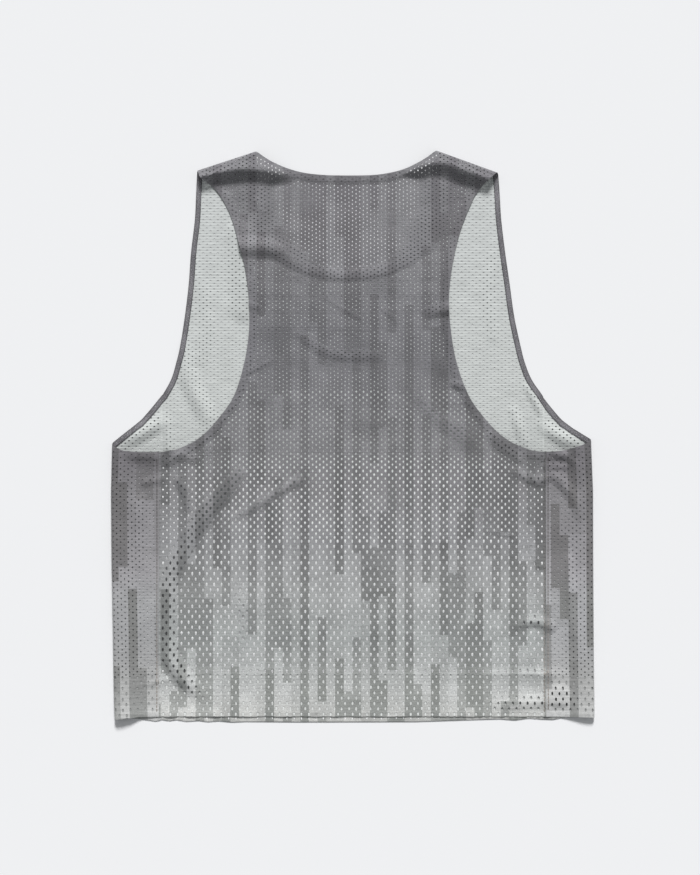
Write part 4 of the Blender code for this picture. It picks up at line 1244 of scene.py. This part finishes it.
# %% Side panels
SIDE_STEP = 5.0
SIDE_SEAM_FOOT = 305              # how far down the seams' rows are counted
TOP_POINTS, FOOT_POINTS, FOLD_COLUMNS = 90, 24, 17
FLAT_COLUMNS = (np.arange(-58, -7, 3.0), np.arange(8, 60, 3.0))     # on the front and the back


def seam_round(y, which, side):
    """How far round from the side fold a seam lies: which is 1 at the back, -1 at the front."""
    out_to, radius = side_fold(y, side)
    seam = BACK_SEAM_X if which > 0 else FRONT_SEAM_X
    return which * (np.pi / 2 * radius + out_to - radius - seam - SEAM_GAP / 2)


def seam_height(y, hem):
    """The height that a turned-up point has once it is laid, above a hem at this height."""
    past = np.maximum(hem + HEM_RADIUS - y, 0)
    return np.where(past > 0, hem + HEM_RADIUS + np.maximum(past - np.pi * HEM_RADIUS, 0), y)


def underarm(side, count):
    """Stops along the underarm edge of a side panel, from seam to seam, and their heights."""
    s = np.linspace(seam_round(FRONT_TOP, -1, side), seam_round(BACK_TOP, 1, side), count)
    return s, at_side(UNDERARM, s, side)


def side_outline(side):
    top = evenly(np.column_stack(underarm(side, TOP_POINTS)), EDGE_STEP)

    def seam(which, start):
        hem = float(SIDE_HEM[side](seam_round(BACK_HEM_Y, which, side)))
        count = round((start + SIDE_SEAM_FOOT) / ROW_STEP)
        rows = np.linspace(start, hem + HEM_STOPS[0], count)[1:-1]
        rows = np.concatenate([rows, hem + TURN_STOPS])
        return np.column_stack([seam_round(seam_height(rows, hem), which, side), rows])

    front_seam, back_seam = seam(-1, top[0][1]), seam(1, top[-1][1])
    across = np.linspace(front_seam[-1][0], back_seam[-1][0], FOOT_POINTS)
    bottom = np.column_stack([across, SIDE_HEM[side](across) + HEM_END])
    return np.vstack([front_seam, bottom, back_seam[::-1], top[::-1]])


def side_guides(side):
    """Points in columns round a side fold, and in rows round its hem."""
    rows = np.arange(20, BACK_HEM_Y + 4, -SIDE_STEP)
    out_to, radius = side_fold(rows, side)
    turn = np.linspace(-1, 1, FOLD_COLUMNS)
    fold = [np.column_stack([np.pi / 2 * radius * t, rows]) for t in turn]
    columns = np.concatenate([FLAT_COLUMNS[0], np.pi / 2 * radius[-1] * turn, FLAT_COLUMNS[1]])
    return np.vstack(fold + hem_guides(columns, SIDE_HEM[side]))


for side, hand in SIDES:
    outline = side_outline(side)
    holes = eyelets(outline, SIDE_MESH, SIDE_HEM[side], seed=11 + side)
    flat, faces = cut_mesh(outline, holes, side_guides(side), SIDE_STEP)
    print(f"side_cloth_{hand}", len(holes), "holes")
    shell(f"side_cloth_{hand}", flat, faces, lay_side[side],
                        [SIDE_PRINTED[side], INSIDES["side"]])
    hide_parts(f"side_panel_{hand}")

# %% [markdown]
# ## Bindings
# The neck and the armholes are bound with a strip of the same cloth, sewn to the inside edge.
# Its printed face shows as a dark line on the pale inside of the front. A curve with a flat
# bevel could stand for it, but it would cut through the cloth where that bends. A strip follows
# its panel exactly, one layer further in, so it is made from the panel's own edge.

# %% Strips along the edges
ACROSS = np.linspace(0, 1, 6) * BINDING_WIDTH
STRIP_STEP, UNDERARM_POINTS = 2.0, 72
TURN_EASE = np.pi / 2 * TIP_ROLL        # how far from a shoulder fold a strip still turns


def eased(way, distance, end_way):
    """Directions that turn into the one at an end as the distance to that end runs out."""
    share = np.clip(1 - distance / TURN_EASE, 0, 1)[:, None]
    return share * end_way + (1 - share) * way


def strip(curve, turn, start_way, end_way=None):
    """Stops along an edge that starts at a shoulder fold, each with points across a binding."""
    length = run_of(curve)[-1]
    stops = np.linspace(0, length, round(length / STRIP_STEP) + 1)
    heading = (points_at(curve, np.minimum(stops + 1, length))
               - points_at(curve, np.maximum(stops - 1, 0)))
    way = unit(turn * np.column_stack([-heading[:, 1], heading[:, 0]]))
    way = eased(way, stops, start_way)
    if end_way is not None:
        way = eased(way, length - stops, end_way)
    return points_at(curve, stops)[:, None] + unit(way)[:, None] * ACROSS[None, :, None]


def fold_way(tip, neck):
    run = np.subtract(neck, tip)
    return run / np.hypot(*run)


def underarm_strip(side):
    """The binding's points on a side panel, from the front seam to the back seam."""
    s, top = underarm(side, UNDERARM_POINTS)
    slope = np.gradient(top, s)
    rows = [np.column_stack([s, top - across * np.hypot(1, slope)]) for across in ACROSS]
    return np.stack(rows, axis=1)


WAYS = {-1: fold_way(LEFT_TIP, LEFT_NECK), 1: fold_way(RIGHT_TIP, RIGHT_NECK)}
BACK_STRIPS, FRONT_STRIPS = (
    {side: strip(curves[side], -side, WAYS[side]) for side in (-1, 1)}
    for curves in (BACK_ARMHOLES, FRONT_ARMHOLES))
NECK_STRIPS = [strip(curve, -1, -WAYS[-1], -WAYS[1])
               for curve in (BACK_NECK_CURVE, FRONT_NECK_CURVE)]
print("a binding is", len(ACROSS), "points across")

# %% Bindings
# Width of the strips by height. The neck's is trimmed narrow at the back.
ARMHOLE_WIDTH = [(-20, 6.4), (60, 5.9), (120, 5.8), (310, 5.7)]
NECK_WIDTH = [(170, 5.7), (282, 5.7), (291, 3.6), (312, 2.8)]
SCALLOP, SCALLOP_STEP = 0.2, 3.97       # a sewn edge waves by its stitches
BINDING_MESH = [(12, 1.98, 1.5, 1.25, 4)]
BINDING_NET, JOIN_GAP = 3.0, 0.3
ARMHOLE_JOIN = (239, 7)                 # where an armhole's binding starts and ends
NO_HEM_Y = -100                         # a binding has no hem, so its fold is out of reach


def make_binding(name, stretches, join_at, widths, seed):
    """A strip all round an edge, made of stretches that each lie inside one piece."""
    points, outs = [], []
    for strip_points, lay in stretches:
        point, out = raised(lay, -BINDING_DROP)(*strip_points.reshape(-1, 2).T)
        points.append(point.reshape(-1, len(ACROSS), 3))
        outs.append(out.reshape(-1, len(ACROSS), 3))
    grid, out = np.vstack(points), np.vstack(outs)
    start = -int(np.hypot(*(grid[:, 0, :2] - join_at).T).argmin())
    grid, out = (closed(np.roll(rows, start, axis=0)) for rows in (grid, out))
    steps = np.linalg.norm(np.diff(grid[:, 2], axis=0), axis=1)
    run = np.concatenate([[0], np.cumsum(steps)])

    def between(rows, a, b):
        """Rows of points, read a along the strip and b across it."""
        row, column = np.interp(a, run, np.arange(len(run))), b / ACROSS[1]
        i = np.clip(row.astype(int), 0, len(run) - 2)
        j = np.clip(column.astype(int), 0, len(ACROSS) - 2)
        s, t = (row - i)[:, None], (column - j)[:, None]
        near = rows[i, j] * (1 - t) + rows[i, j + 1] * t
        return near * (1 - s) + (rows[i + 1, j] * (1 - t) + rows[i + 1, j + 1] * t) * s

    def lay(a, b):
        return between(grid, a, b), unit(between(out, a, b))

    stops = np.linspace(JOIN_GAP, run[-1], round(run[-1] / STRIP_STEP))
    width = look_up(widths, between(grid, stops, 0 * stops)[:, 1])
    width = width + SCALLOP * np.sin(2 * np.pi * stops / SCALLOP_STEP)
    outline = np.vstack([np.column_stack([stops, 0 * stops]),
                         np.column_stack([stops, width])[::-1]])
    holes = eyelets(outline, BINDING_MESH, lambda x: 0 * x + NO_HEM_Y, seed)
    flat, faces = cut_mesh(outline, holes, np.empty((0, 2)), BINDING_NET)
    piece = shell(name, flat, faces, lay, [BOUND, BOUND])
    return piece


for side, hand in SIDES:
    stretches = [(FRONT_STRIPS[side][1:-1], lay_front), (underarm_strip(side), lay_side[side]),
                 (BACK_STRIPS[side][-2::-1], lay_back)]
    made = make_binding(f"armhole_binding_cloth_{hand}", stretches,
                        (side * ARMHOLE_JOIN[0], ARMHOLE_JOIN[1]), ARMHOLE_WIDTH,
                        seed=20 + side)
    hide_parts(f"armhole_binding_{hand}")
neck_bound = make_binding("neck_binding_cloth",
                          [(NECK_STRIPS[0], lay_back), (NECK_STRIPS[1][-2:0:-1], lay_front)],
                          LEFT_NECK, NECK_WIDTH, seed=31)
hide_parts("neck_binding")

# %% [markdown]
# ## Side seams
# A side seam is sewn inside, so from the outside only a fine line shows. A strip of sewn-over
# thread just below the cloth closes that line, as an overlocked edge does, and short flat
# stitches stand in upright columns on the cloth beside it. Stitches could be tubes on a curve,
# but thread this thin looks flat, and small tabs laid like the cloth follow its every bend.

# %% Side seams
SEWN_WIDTH, SEWN_DROP, SEWN_STEP = 2.2, 0.3, 2.5
SEWN_COLUMNS = np.linspace(-SEWN_WIDTH / 2, SEWN_WIDTH / 2, 4)
STITCH_LENGTH, STITCH_WIDTH, STITCH_STEP, STITCH_RISE = 2.8, 1.2, 4.0, 0.23
SEWN_START, STITCH_START = 1.5, 6       # above the hem
STITCH_COLUMNS = {"left": [-213.2], "right": [209.0, 213.2]}


def make_seam(name, seam_x, top, surface, finish):
    """A strip of overlocked thread along the inside of one side seam."""
    rows = np.arange(BACK_HEM_Y + SEWN_START, top - BINDING_WIDTH, SEWN_STEP)
    flat = np.array([(seam_x + across, y) for y in rows for across in SEWN_COLUMNS])
    corner = np.arange(len(flat)).reshape(len(rows), -1)
    a, b, c, d = (corner[:-1, :-1], corner[:-1, 1:], corner[1:, 1:], corner[1:, :-1])
    faces = np.vstack([np.stack(t, axis=-1).reshape(-1, 3) for t in ((a, b, c), (a, c, d))])
    return shell(name, flat, faces, raised(surface, -SEWN_DROP), [finish, finish])


def make_stitches(name, columns):
    """Short flat stitches in upright columns, on top of the cloth beside a side seam."""
    flat, faces = [], []
    for number, x in enumerate(columns):
        start = BACK_HEM_Y + STITCH_START + STITCH_STEP / 2 * (number % 2)
        for y in np.arange(start, BACK_TOP - BINDING_WIDTH, STITCH_STEP):
            k = len(flat)
            flat += [(x + across * STITCH_WIDTH / 2, y + up * STITCH_LENGTH)
                     for up in (0, 0.5, 1) for across in (-1, 1)]
            faces += [(k, k + 1, k + 3), (k, k + 3, k + 2),
                      (k + 2, k + 3, k + 5), (k + 2, k + 5, k + 4)]
    return shell(name, np.array(flat), faces, raised(ON_BACK, STITCH_RISE),
                 [STITCHED, STITCHED])


back_seams = [make_seam(f"back_seam_{hand}", side * BACK_SEAM_X, BACK_TOP, ON_BACK, SEWN)
              for side, hand in SIDES]
stitches = [make_stitches(f"seam_stitches_{hand}", STITCH_COLUMNS[hand]) for side, hand in SIDES]
front_seams = [make_seam(f"front_seam_{hand}", side * FRONT_SEAM_X, FRONT_TOP, ON_FRONT,
                         SEWN_INSIDE)
               for side, hand in SIDES]

# %% [markdown]
# ## What the cloth is
# The cloth is cut into a back, a front and two side panels. The turned-up hem and the rolled
# shoulders hide some of each cut on the laid mesh.

print("cloth pieces: back, front and two sides")
